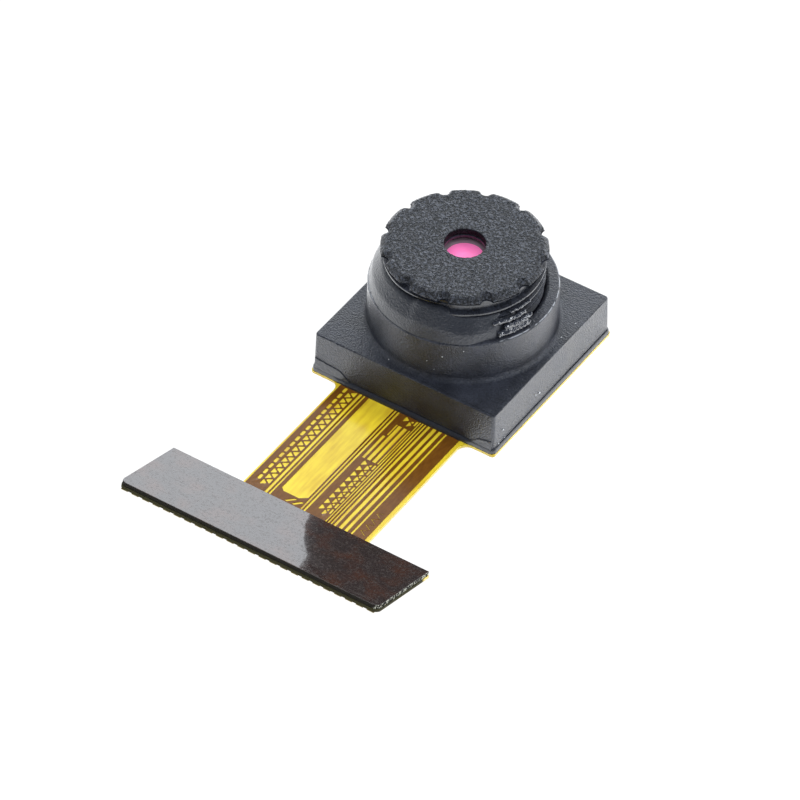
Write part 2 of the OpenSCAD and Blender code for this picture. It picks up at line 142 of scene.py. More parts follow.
def from_lens_axis(tree: NodeTree, place: NodeSocket) -> NodeSocket:
    """Gives the distance of a place from the lens axis, in metres."""
    flat = add_node(tree, "VectorMath", {0: place, 1: (1.0, 1.0, 0.0)}, operation="MULTIPLY")
    return add_node(tree, "VectorMath", {0: flat}, "Value", operation="LENGTH")


def facing_up(tree: NodeTree) -> NodeSocket:
    """Gives 1 where a face looks straight up, 0 where it is upright and -1 where it looks down."""
    return add_node(tree, "SeparateXYZ", {"Vector": add_node(tree, "NewGeometry", {}, "True Normal")}, "Z")


def cut_faces(tree: NodeTree) -> NodeSocket:
    """Gives 1 on a sheet's upright cut faces and 0 on its two broad ones."""
    level = add_node(tree, "Math", {0: facing_up(tree)}, operation="ABSOLUTE")
    return add_node(tree, "MapRange", {"Value": level, "From Min": 0.75, "From Max": 0.55})


def pick(piece: Object) -> None:
    """Selects one object alone and makes it the active one."""
    if bpy.context.mode != "OBJECT":
        bpy.ops.object.mode_set(mode="OBJECT")
    bpy.ops.object.select_all(action="DESELECT")
    piece.select_set(True)
    bpy.context.view_layer.objects.active = piece


def select_where(piece: Object, kind: str, test: Callable[[Any], bool]) -> None:
    """In edit mode, selects only the elements that pass a test.

    Args:
        piece: the object in edit mode.
        kind: "VERT", "EDGE" or "FACE".
        test: takes a bmesh element and says whether it is selected.
    """
    bpy.ops.mesh.select_mode(type=kind)
    bpy.ops.mesh.select_all(action="DESELECT")
    mesh = bmesh.from_edit_mesh(piece.data)
    elements = {"VERT": mesh.verts, "EDGE": mesh.edges, "FACE": mesh.faces}[kind]
    for element in elements:
        if test(element):
            element.select_set(True)
    mesh.select_flush_mode()
    bmesh.update_edit_mesh(piece.data)


def apply_modifiers(piece: Object) -> None:
    """Applies all of a piece's modifiers in order, then its place."""
    pick(piece)
    for modifier in list(piece.modifiers):
        bpy.ops.object.modifier_apply(modifier=modifier.name)
    bpy.ops.object.transform_apply(location=True, rotation=True, scale=True)


def copy_of(node: str, name: str) -> Object:
    """Copies a CAD node's mesh into a new object, with its loose triangles merged.

    Args:
        node: the CAD node.
        name: the new object's name.

    Returns:
        The new object, with flat regions as single faces.
    """
    piece = bpy.data.objects.new(name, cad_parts[node].data.copy())
    bpy.context.scene.collection.objects.link(piece)
    piece.data.materials.clear()
    pick(piece)
    bpy.ops.object.mode_set(mode="EDIT")
    bpy.ops.mesh.select_all(action="SELECT")
    bpy.ops.mesh.remove_doubles(threshold=0.0005 * MM)
    bpy.ops.mesh.dissolve_limited(angle_limit=math.radians(0.6))
    bpy.ops.object.mode_set(mode="OBJECT")
    return piece


def settle(piece: Object, material: Material, replaced: tuple[str, ...] = ()) -> None:
    """Gives a finished piece its material and hangs it on the module.

    Args:
        piece: the finished object.
        material: its finish.
        replaced: the CAD nodes that it stands for.
    """
    piece.data.materials.clear()
    piece.data.materials.append(material)
    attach(piece, BODY)
    if replaced:
        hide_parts(*replaced)
    log.info("%s: %d faces", piece.name, len(piece.data.polygons))


def dress(node: str, material: Material) -> None:
    """Puts a finish on a CAD node that stays as it is."""
    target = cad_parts[node]
    target.data.materials.clear()
    target.data.materials.append(material)
    log.info("%s: %s", node, material.name)


def start_piece(name: str, primitive: Callable[..., Any], **settings: Any) -> Object:
    """Adds a primitive, names it and opens it for editing.

    Args:
        name: the new piece's name.
        primitive: the operator that adds it.
        settings: that operator's settings, of which the place is the origin where it isn't given.

    Returns:
        The new object, in edit mode with everything selected.
    """
    bpy.ops.object.select_all(action="DESELECT")
    primitive(**{"location": (0, 0, 0), **settings})
    piece = bpy.context.object
    piece.name = name
    bpy.ops.object.mode_set(mode="EDIT")
    bpy.ops.mesh.select_all(action="SELECT")
    return piece


def close_up() -> None:
    """Turns the edited piece's faces outwards and leaves edit mode."""
    bpy.ops.mesh.select_all(action="SELECT")
    bpy.ops.mesh.normals_make_consistent(inside=False)
    bpy.ops.object.mode_set(mode="OBJECT")


def stretch(x: float, y: float, z: float, about: tuple[float, float, float] | Vector = (0, 0, 0)) -> None:
    """Scales what is selected about a point."""
    bpy.ops.transform.resize(value=(x, y, z), center_override=about)


def swing(angle: float, axis: str) -> None:
    """Turns what is selected about one axis through the origin, by an angle in degrees."""
    bpy.ops.transform.rotate(value=math.radians(angle), orient_axis=axis, center_override=(0, 0, 0))


def shift(x: float, y: float, z: float) -> None:
    """Moves what is selected by millimetres."""
    bpy.ops.transform.translate(value=(x * MM, y * MM, z * MM))


def wind(piece: Object, sweep: float, steps: int, rise: float = 0.0) -> None:
    """Sweeps the edited section round the lens axis and closes both ends, and stays in edit mode.

    Args:
        piece: the object, whose section is one face.
        sweep: how far it goes round, in degrees.
        steps: the number of steps.
        rise: how far it climbs in all, in millimetres.
    """
    bpy.ops.mesh.delete(type="ONLY_FACE")
    bpy.ops.object.mode_set(mode="OBJECT")
    screw = piece.modifiers.new("sweep", "SCREW")
    screw.axis = "Z"
    screw.angle = math.radians(sweep)
    screw.screw_offset = rise * MM
    screw.steps = screw.render_steps = steps
    apply_modifiers(piece)
    bpy.ops.object.mode_set(mode="EDIT")
    bpy.ops.mesh.select_all(action="SELECT")
    bpy.ops.mesh.fill_holes(sides=0)


def move_point(piece: Object, old: tuple[float, float, float], new: tuple[float, float, float]) -> None:
    """Moves one vertex, in edit mode.

    Args:
        piece: the object.
        old: where the vertex is, in millimetres.
        new: where it goes, in millimetres.
    """
    here = Vector(old) * MM
    select_where(piece, "VERT", lambda v: (v.co - here).length < NEAR)
    shift(*(Vector(new) - Vector(old)))


def between(table: tuple[tuple[float, float], ...], place: float) -> float:
    """Reads a value from a short list of (place, value) pairs, eased from one to the next.

    Args:
        table: the pairs, in rising order of place.
        place: where to read.

    Returns:
        The eased value.
    """
    if place <= table[0][0]:
        return table[0][1]
    for (a, low), (b, high) in zip(table, table[1:]):
        if place <= b:
            share = (place - a) / (b - a)
            return low + (high - low) * share * share * (3 - 2 * share)
    return table[-1][1]


def polar(radius: float, azimuth: float, height: float) -> Vector:
    """Gives a point, in metres, from a radius, an azimuth in degrees and a height in millimetres."""
    turn = math.radians(azimuth)
    return Vector((radius * math.cos(turn), radius * math.sin(turn), height)) * MM


def cut_at(piece: Object, height: float, keep_above: bool) -> None:
    """Cuts a hollow piece level and closes the ring that is left open.

    Args:
        piece: the object.
        height: height of the cut in millimetres.
        keep_above: keeps the upper part, and otherwise the lower.
    """
    pick(piece)
    bpy.ops.object.mode_set(mode="EDIT")
    bpy.ops.mesh.select_all(action="SELECT")
    bpy.ops.mesh.bisect(plane_co=(0, 0, height * MM), plane_no=(0, 0, 1),
                        clear_inner=keep_above, clear_outer=not keep_above)
    select_where(piece, "EDGE", lambda e: e.is_boundary)
    bpy.ops.mesh.bridge_edge_loops()
    close_up()


def soften(piece: Object, width: float, angle: float = 35, segments: int = 3) -> None:
    """Rounds a piece's hard edges and shades it smooth, with its flat faces kept flat.

    Args:
        piece: the object.
        width: the rounding in millimetres.
        angle: the sharpest turn in degrees that stays unrounded.
        segments: steps across the rounding.
    """
    bevel = piece.modifiers.new("edge_rounding", "BEVEL")
    bevel.width = width * MM
    bevel.segments = segments
    bevel.limit_method = "ANGLE"
    bevel.angle_limit = math.radians(angle)
    bevel.use_clamp_overlap = True
    apply_modifiers(piece)
    bpy.ops.object.shade_smooth_by_angle(angle=math.radians(angle))
    weighted = piece.modifiers.new("flat_faces", "WEIGHTED_NORMAL")
    weighted.keep_sharp = True
    weighted.weight = 100
    apply_modifiers(piece)


def square_up(piece: Object, height: float, old: tuple[float, float], new: tuple[float, float]) -> None:
    """Reshapes the four rounded corners of a square block at one height, in edit mode.

    Args:
        piece: the object.
        height: the height of the corners' points in millimetres.
        old: the block's half width and corner radius there, in millimetres.
        new: the half width and corner radius that they get.
    """
    middle = old[0] - old[1]
    share = new[1] / old[1]
    step = new[0] - new[1] - middle
    for x in (-1, 1):
        for y in (-1, 1):
            centre = Vector((x * middle, y * middle, height)) * MM
            select_where(piece, "VERT", lambda v: abs((v.co - centre).length - old[1] * MM) < NEAR
                         and abs(v.co.z - centre.z) < NEAR / 2
                         and (v.co.x - centre.x) * x > -NEAR and (v.co.y - centre.y) * y > -NEAR)
            stretch(share, share, 1, centre)
            shift(x * step, y * step, 0)


def clouds(name: str, size: float, depth: int) -> Texture:
    """Makes a cloud texture whose clouds are about so many millimetres wide."""
    texture = bpy.data.textures.new(name, "CLOUDS")
    texture.noise_scale = size * MM
    texture.noise_depth = depth
    return texture


def make_lumpy(piece: Object, voxel: float, lump: float, height: float, smoothing: int = 4,
               level: float = 0.5) -> None:
    """Gives a piece an even fine mesh, soft edges and a lumpy skin.

    Args:
        piece: the object.
        voxel: grid size of the new skin in millimetres.
        lump: width of a lump in millimetres.
        height: how far lumps stand up in millimetres.
        smoothing: rounds of smoothing before the lumps are raised.
        level: the share of the lumps that lies inside the piece's old skin.
    """
    remesh = piece.modifiers.new("even_skin", "REMESH")
    remesh.mode = "VOXEL"
    remesh.voxel_size = voxel * MM
    smooth = piece.modifiers.new("surface_tension", "SMOOTH")
    smooth.factor = 0.5
    smooth.iterations = smoothing
    raised = piece.modifiers.new("lumps", "DISPLACE")
    raised.texture = clouds(piece.name + "_lumps", lump, 2)
    raised.strength = height * MM
    raised.mid_level = level
    apply_modifiers(piece)
    bpy.ops.object.shade_smooth()


# ---------------------------------------------------------------- finishes


@dataclass(frozen=True)
class Finish:
    """What every finish has: a name, a colour and how its surface takes light."""

    name: str
    colour: str
    roughness: float = 0.4
    ior: float = 1.5

    def start(self) -> tuple[Material, NodeTree, Node, NodeSocket]:
        """Makes the material with its plain shader.

        Returns:
            The material, its tree, its shader node and the Object coordinates in metres.
        """
        material = bpy.data.materials.new(self.name)
        material.use_nodes = True
        tree = material.node_tree
        shader = tree.nodes["Principled BSDF"]
        shader.inputs["Base Color"].default_value = linear(self.colour)
        shader.inputs["Roughness"].default_value = self.roughness
        shader.inputs["IOR"].default_value = self.ior
        return material, tree, shader, add_node(tree, "TexCoord", {}, "Object")

    def build(self) -> Material:
        """Makes the finished material."""
        raise NotImplementedError


@dataclass(frozen=True)
class SparkErodedPlastic(Finish):
    """Black polycarbonate from a coarsely spark-eroded mould: a leathery grain, shiny on its ridges."""

    grain_mm: float = 0.1
    grain_height_mm: float = 0.12
    fine_mm: float = 0.055
    fine_height_mm: float = 0.02
    # Colour of the ridges: a painted highlight, where the grain's slopes would catch the light
    light: str = "#454952"
    pit_roughness: float = 0.18
    hole_r: float = 0.84
    hole_edge: float = 0.02
    hole: str = "#191a1e"
    hole_gloss: float = 0.15

    def build(self) -> Material:
        """Draws the wandering ridges, smoother than the pits between them and paler: their paler tone is a
        painted highlight over the real grain.
        """
        material, tree, shader, place = self.start()
        grain = add_node(tree, "TexNoise", {"Vector": place, "Scale": per_mm(self.grain_mm), "Detail": 2.0,
                                            "Roughness": 0.6, "Distortion": 0.7})
        ridges = add_node(tree, "MapRange", {"Value": grain, "From Min": 0.42, "From Max": 0.58},
                          interpolation_type="SMOOTHSTEP")
        fine = add_node(tree, "TexNoise", {"Vector": place, "Scale": per_mm(self.fine_mm), "Detail": 1.0,
                                           "Distortion": 0.5})
        # The ridges' paler tone is a painted highlight on the grain
        tone = add_node(tree, "Mix", {MIX_FACTOR: ridges, MIX_A: self.colour, MIX_B: self.light}, **COLOURS)
        inside = add_node(tree, "MapRange", {"Value": from_lens_axis(tree, place),
                                             "From Min": (self.hole_r + self.hole_edge) * MM,
                                             "From Max": self.hole_r * MM})
        tone = add_node(tree, "Mix", {MIX_FACTOR: inside, MIX_A: tone, MIX_B: self.hole}, **COLOURS)
        sheen = add_node(tree, "MapRange", {"Value": inside, "To Min": PLAIN_GLOSS,
                                            "To Max": self.hole_gloss})
        polish = add_node(tree, "MapRange", {"Value": ridges, "To Min": self.roughness + self.pit_roughness,
                                             "To Max": self.roughness})
        coarse = add_node(tree, "Bump", {"Height": ridges, "Distance": self.grain_height_mm * MM})
        both = add_node(tree, "Bump", {"Height": fine, "Distance": self.fine_height_mm * MM,
                                       "Normal": coarse})
        feed(shader, {"Base Color": tone, "Roughness": polish, "Specular IOR Level": sheen, "Normal": both})
        return material


@dataclass(frozen=True)
class SatinPlastic(Finish):
    """Black glass-filled nylon from a bead-blasted mould: satin, with a fine grain and, where asked for, a
    painted highlight on one round edge.
    """

    grain_mm: float = 0.07
    grain_height_mm: float = 0.042
    drift_mm: float = 0.9
    polish: float = 0.05
    light: str = "#343740"
    # Colour of the painted highlight on the round edge
    painted_highlight: str = "#9a9da3"
    # The round edge that gets a painted highlight: its radius and height
    highlight_ring: tuple[float, float] | None = None
    highlight_width_mm: float = 0.035
    highlight_dash_mm: float = 0.3
    # Middle azimuth and half sweep of the stretch that adhesive covers, where no highlight is painted
    covered: tuple[float, float] = (-80.0, 44.0)

    def build(self) -> Material:
        """Draws the fine grain, slow changes of tone and, where asked for, a painted highlight on one round
        edge.
        """
        material, tree, shader, place = self.start()
        drift = add_node(tree, "TexNoise", {"Vector": place, "Scale": per_mm(self.drift_mm), "Detail": 3.0})
        grain = add_node(tree, "TexNoise", {"Vector": place, "Scale": per_mm(self.grain_mm), "Detail": 2.0})
        mottle = add_node(tree, "Math", {0: drift, 1: grain}, operation="MULTIPLY")
        share = add_node(tree, "MapRange", {"Value": mottle, "From Min": 0.14, "From Max": 0.38})
        tone = add_node(tree, "Mix", {MIX_FACTOR: share, MIX_A: self.colour, MIX_B: self.light}, **COLOURS)
        if self.highlight_ring:
            tone = self._paint_edge_highlight(tree, place, tone)
        bump = add_node(tree, "Bump", {"Height": grain, "Distance": self.grain_height_mm * MM})
        polish = add_node(tree, "MapRange", {"Value": drift, "From Min": 0.3, "From Max": 0.7,
                                             "To Min": self.roughness - self.polish,
                                             "To Max": self.roughness + self.polish})
        feed(shader, {"Base Color": tone, "Roughness": polish, "Normal": bump})
        return material

    def _paint_edge_highlight(self, tree: NodeTree, place: NodeSocket, tone: NodeSocket) -> NodeSocket:
        """Paints a highlight on one round edge, in broken dashes.

        Args:
            tree: the material's nodes.
            place: Object coordinates.
            tone: the colour so far.

        Returns:
            The colour with the painted highlight on the edge.
        """
        ring_r, ring_z = self.highlight_ring
        axes = add_node(tree, "SeparateXYZ", {"Vector": place}).node.outputs
        across = add_node(tree, "Math", {0: from_lens_axis(tree, place), 1: ring_r * MM},
                          operation="SUBTRACT")
        above = add_node(tree, "Math", {0: axes["Z"], 1: ring_z * MM}, operation="SUBTRACT")
        offset = add_node(tree, "CombineXYZ", {"X": across, "Y": above})
        distance = add_node(tree, "VectorMath", {0: offset}, "Value", operation="LENGTH")
        near = add_node(tree, "MapRange", {"Value": distance, "From Min": self.highlight_width_mm * MM,
                                           "From Max": 0.4 * self.highlight_width_mm * MM})
        highlight_dashes = add_node(tree, "TexNoise", {"Vector": place, "Scale": per_mm(self.highlight_dash_mm),
                                              "Detail": 3.0})
        broken = add_node(tree, "MapRange", {"Value": highlight_dashes, "From Min": 0.42, "From Max": 0.52})
        painted_highlight = add_node(tree, "Math", {0: near, 1: broken}, operation="MULTIPLY")
        azimuth = add_node(tree, "Math", {0: axes["Y"], 1: axes["X"]}, operation="ARCTAN2")
        middle, half = (math.radians(angle) for angle in self.covered)
        turn = add_node(tree, "Math", {0: azimuth, 1: middle}, operation="SUBTRACT")
        away = add_node(tree, "Math", {0: turn}, operation="ABSOLUTE")
        bare = add_node(tree, "MapRange", {"Value": away, "From Min": half, "From Max": 1.1 * half})
        painted_highlight = add_node(tree, "Math", {0: painted_highlight, 1: bare}, operation="MULTIPLY")
        # Pale ring on the round edge: a painted highlight, not wear
        return add_node(tree, "Mix", {MIX_FACTOR: painted_highlight, MIX_A: tone, MIX_B: self.painted_highlight}, **COLOURS)


@dataclass(frozen=True)
class CuredAdhesive(Finish):
    """Dispensed and cured epoxy, with small ripples where it skinned over."""

    ripple_mm: float = 0.14
    ripple_height_mm: float = 0.006
    light: str = "#34373d"

    def build(self) -> Material:
        """Draws the ripples and a cloudy tone."""
        material, tree, shader, place = self.start()
        ripple = add_node(tree, "TexNoise", {"Vector": place, "Scale": per_mm(self.ripple_mm), "Detail": 2.0,
                                             "Distortion": 0.4})
        tone = add_node(tree, "Mix", {MIX_FACTOR: ripple, MIX_A: self.colour, MIX_B: self.light}, **COLOURS)
        bump = add_node(tree, "Bump", {"Height": ripple, "Distance": self.ripple_height_mm * MM})
        feed(shader, {"Base Color": tone, "Normal": bump})
        return material


@dataclass(frozen=True)
class CoatedLens(Finish):
    """Moulded lens with an anti-reflection coating: magenta in the polished zone, grey on its flange."""

    flange: str = "#86727c"
    zone_r: float = 0.78
    zone_edge: float = 0.02
    stain: str = "#ff7cc0"
    stain_mm: float = 0.3
    # Painted glow: the polished zone's emission, as a share, standing in for light that the coating sends
    # back out of the hole
    painted_glow: float = 0.24

    def build(self) -> Material:
        """Colours the polished zone by its distance from the axis, with faint stains, and gives it a painted
        glow.
        """
        material, tree, shader, place = self.start()
        rim = add_node(tree, "MapRange", {"Value": from_lens_axis(tree, place), "From Max": self.zone_r * MM,
                                          "From Min": (self.zone_r - self.zone_edge) * MM})
        stain = add_node(tree, "TexNoise", {"Vector": place, "Scale": per_mm(self.stain_mm), "Detail": 2.0})
        zone = add_node(tree, "Mix", {MIX_FACTOR: stain, MIX_A: self.colour, MIX_B: self.stain}, **COLOURS)
        tone = add_node(tree, "Mix", {MIX_FACTOR: rim, MIX_A: zone, MIX_B: self.flange}, **COLOURS)
        # Emission in the polished zone: a painted glow, though the lens is no lamp
        glow = add_node(tree, "MapRange", {"Value": rim, "To Min": self.painted_glow, "To Max": 0.0})
        shader.inputs["Coat Weight"].default_value = 0.2
        shader.inputs["Coat Roughness"].default_value = 0.04
        feed(shader, {"Base Color": tone, "Emission Color": zone, "Emission Strength": glow})
        return material


@dataclass(frozen=True)
class AmberFilm(Finish):
    """Polyimide base and cover film, laminated under a hot press: clear yellow, glossy, faintly quilted."""

    deep: str = "#dcb62c"
    cloud_mm: float = 1.4
    streak_mm: float = 0.16
    quilt_mm: float = 0.45
    quilt_height_mm: float = 0.003
    # The tongue's punched edges, which start here along the flex
    cut: str = "#3d3b28"
    cut_from: float = -11.6
    cut_ramp: float = 0.2
    cut_roughness: float = 0.8
    cut_gloss: float = 0.1

    def build(self) -> Material:
        """Draws slow amber clouds, press marks, a soft quilting and the tongue's dull edges."""
        material, tree, shader, place = self.start()
        clouds = add_node(tree, "TexNoise", {"Vector": place, "Scale": per_mm(self.cloud_mm), "Detail": 4.0})
        along = add_node(tree, "Mapping", {"Vector": place, "Scale": (1.0, 0.12, 1.0)})
        streaks = add_node(tree, "TexNoise", {"Vector": along, "Scale": per_mm(self.streak_mm),
                                              "Detail": 2.0})
        both = add_node(tree, "Math", {0: clouds, 1: streaks}, operation="MULTIPLY")
        depth = add_node(tree, "MapRange", {"Value": both, "From Min": 0.14, "From Max": 0.40})
        tone = add_node(tree, "Mix", {MIX_FACTOR: depth, MIX_A: self.colour, MIX_B: self.deep}, **COLOURS)
        edge = add_node(tree, "MapRange", {"Value": facing_up(tree), "From Min": -0.75, "From Max": -0.55})
        y = add_node(tree, "SeparateXYZ", {"Vector": place}, "Y")
        tongue = add_node(tree, "MapRange", {"Value": y, "From Min": self.cut_from * MM,
                                             "From Max": (self.cut_from - self.cut_ramp) * MM})
        cut = add_node(tree, "Math", {0: edge, 1: tongue}, operation="MULTIPLY")
        tone = add_node(tree, "Mix", {MIX_FACTOR: cut, MIX_A: tone, MIX_B: self.cut}, **COLOURS)
        dull = add_node(tree, "MapRange", {"Value": cut, "To Min": self.roughness,
                                           "To Max": self.cut_roughness})
        sheen = add_node(tree, "MapRange", {"Value": cut, "To Min": PLAIN_GLOSS, "To Max": self.cut_gloss})
        quilt = add_node(tree, "TexNoise", {"Vector": place, "Scale": per_mm(self.quilt_mm), "Detail": 2.0})
        bump = add_node(tree, "Bump", {"Height": quilt, "Distance": self.quilt_height_mm * MM})
        feed(shader, {"Base Color": tone, "Roughness": dull, "Specular IOR Level": sheen, "Normal": bump})
        return material


@dataclass(frozen=True)
class BuriedCopper(Finish):
    """Rolled copper under amber cover film: dark brown, glossy film over it, with a fine rolled grain."""

    light: str = "#85561c"
    grain_mm: float = 0.09
    grain_height_mm: float = 0.002

    def build(self) -> Material:
        """Draws the rolling grain along the flex."""
        material, tree, shader, place = self.start()
        along = add_node(tree, "Mapping", {"Vector": place, "Scale": (1.0, 0.25, 1.0)})
        grain = add_node(tree, "TexNoise", {"Vector": along, "Scale": per_mm(self.grain_mm), "Detail": 3.0})
        tone = add_node(tree, "Mix", {MIX_FACTOR: grain, MIX_A: self.colour, MIX_B: self.light}, **COLOURS)
        bump = add_node(tree, "Bump", {"Height": grain, "Distance": self.grain_height_mm * MM})
        feed(shader, {"Base Color": tone, "Normal": bump})
        return material


@dataclass(frozen=True)
class DarkStiffener(Finish):
    """Dark polyimide from a hot press: glossy, with dull pits, broken press lines and fuzzy cut edges."""

    warm: str = "#4a2e22"
    patch_mm: float = 1.1
    pit: str = "#48413e"
    pit_mm: float = 0.11
    pit_roughness: float = 0.12
    pit_gloss: float = 0.25
    line_mm: float = 0.13
    cut: str = "#22201b"
    cut_gloss: float = 0.2
    chip: str = "#c9c9b8"
    chipped_from: float = 5.6
    chip_ramp: float = 0.1
    wave_mm: float = 0.5
    wave_height_mm: float = 0.0012
    # The pressed face leans this much across and along the tongue
    lean: tuple[float, float] = (-0.041, -0.002)

    def build(self) -> Material:
        """Draws reddish patches, dull pits and press lines, and pale chips on the fuzzy cut edges."""
        material, tree, shader, place = self.start()
        patches = add_node(tree, "TexNoise", {"Vector": place, "Scale": per_mm(self.patch_mm), "Detail": 4.0})
        warmth = add_node(tree, "MapRange", {"Value": patches, "From Min": 0.45, "From Max": 0.75})
        tone = add_node(tree, "Mix", {MIX_FACTOR: warmth, MIX_A: self.colour, MIX_B: self.warm}, **COLOURS)
        specks = add_node(tree, "TexNoise", {"Vector": place, "Scale": per_mm(self.pit_mm), "Detail": 3.0,
                                             "Roughness": 0.7})
        pits = add_node(tree, "MapRange", {"Value": specks, "From Min": 0.5, "From Max": 0.66})
        along = add_node(tree, "Mapping", {"Vector": place, "Scale": (0.1, 1.0, 1.0)})
        streaks = add_node(tree, "TexNoise", {"Vector": along, "Scale": per_mm(self.line_mm), "Detail": 2.0})
        lines = add_node(tree, "MapRange", {"Value": streaks, "From Min": 0.66, "From Max": 0.7,
                                            "To Max": 0.8})
        marks = add_node(tree, "Math", {0: pits, 1: lines}, operation="MAXIMUM")
        tone = add_node(tree, "Mix", {MIX_FACTOR: marks, MIX_A: tone, MIX_B: self.pit}, **COLOURS)
        edge = cut_faces(tree)
        across = add_node(tree, "SeparateXYZ", {"Vector": place}, "X")
        end = add_node(tree, "MapRange", {"Value": across, "From Min": self.chipped_from * MM,
                                          "From Max": (self.chipped_from + self.chip_ramp) * MM})
        broken = add_node(tree, "MapRange", {"Value": specks, "From Min": 0.53, "From Max": 0.57})
        chips = add_node(tree, "Math", {0: end, 1: broken}, operation="MULTIPLY")
        fuzz = add_node(tree, "Mix", {MIX_FACTOR: chips, MIX_A: self.cut, MIX_B: self.chip}, **COLOURS)
        tone = add_node(tree, "Mix", {MIX_FACTOR: edge, MIX_A: tone, MIX_B: fuzz}, **COLOURS)
        pitted = add_node(tree, "MapRange", {"Value": marks, "To Min": self.roughness,
                                             "To Max": self.pit_roughness})
        dull = add_node(tree, "Math", {0: pitted, 1: edge}, operation="MAXIMUM")
        gloss = add_node(tree, "MapRange", {"Value": marks, "To Min": PLAIN_GLOSS, "To Max": self.pit_gloss})
        sheen = add_node(tree, "MapRange", {"Value": edge, "To Min": PLAIN_GLOSS, "To Max": self.cut_gloss})
        least = add_node(tree, "Math", {0: gloss, 1: sheen}, operation="MINIMUM")
        slope = add_node(tree, "VectorMath", {0: place, 1: (*self.lean, 0.0)},
                         "Value", operation="DOT_PRODUCT")
        waves = add_node(tree, "TexNoise", {"Vector": place, "Scale": per_mm(self.wave_mm), "Detail": 1.0})
        swell = add_node(tree, "Math", {0: waves, 1: self.wave_height_mm * MM, 2: slope},
                         operation="MULTIPLY_ADD")
        # The swell is in metres already
        bump = add_node(tree, "Bump", {"Height": swell, "Distance": 1.0})
        feed(shader, {"Base Color": tone, "Roughness": dull, "Specular IOR Level": least, "Normal": bump})
        return material


@dataclass(frozen=True)
class GrainedMetal(Finish):
    """A metal surface with a fine directional grain, such as rolled steel, plated gold or reflowed solder."""

    dark: str = "#555555"
    grain_mm: float = 0.05
    stretch: tuple[float, float, float] = (0.08, 1.0, 1.0)
    cut: str | None = None
    polish: float = 0.08
    grain_height_mm: float = 0.001

    def build(self) -> Material:
        """Draws the grain in colour, polish and relief."""
        material, tree, shader, place = self.start()
        shader.inputs["Metallic"].default_value = 1.0
        along = add_node(tree, "Mapping", {"Vector": place, "Scale": self.stretch})
        grain = add_node(tree, "TexNoise", {"Vector": along, "Scale": per_mm(self.grain_mm), "Detail": 3.0})
        tone = add_node(tree, "Mix", {MIX_FACTOR: grain, MIX_A: self.dark, MIX_B: self.colour}, **COLOURS)
        if self.cut:
            tone = add_node(tree, "Mix", {MIX_FACTOR: cut_faces(tree), MIX_A: tone, MIX_B: self.cut},
                            **COLOURS)
        polish = add_node(tree, "MapRange", {"Value": grain, "To Min": self.roughness - self.polish,
                                             "To Max": self.roughness + self.polish})
        bump = add_node(tree, "Bump", {"Height": grain, "Distance": self.grain_height_mm * MM})
        feed(shader, {"Base Color": tone, "Roughness": polish, "Normal": bump})
        return material


@dataclass(frozen=True)
class FineSurface(Finish):
    """A hidden or small part's surface: its colour drifts a little, over a fine relief."""

    second: str = "#222222"
    patch_mm: float = 0.4
    relief_mm: float = 0.05
    relief_height_mm: float = 0.002
    clearness: float = 0.0

    def build(self) -> Material:
        """Draws the drift and the relief."""
        material, tree, shader, place = self.start()
        drift = add_node(tree, "TexNoise", {"Vector": place, "Scale": per_mm(self.patch_mm), "Detail": 3.0})
        tone = add_node(tree, "Mix", {MIX_FACTOR: drift, MIX_A: self.colour, MIX_B: self.second}, **COLOURS)
        relief = add_node(tree, "TexNoise", {"Vector": place, "Scale": per_mm(self.relief_mm), "Detail": 2.0})
        bump = add_node(tree, "Bump", {"Height": relief, "Distance": self.relief_height_mm * MM})
        shader.inputs["Transmission Weight"].default_value = self.clearness
        feed(shader, {"Base Color": tone, "Normal": bump})
        return material


# ---------------------------------------------------------------- sub-assemblies


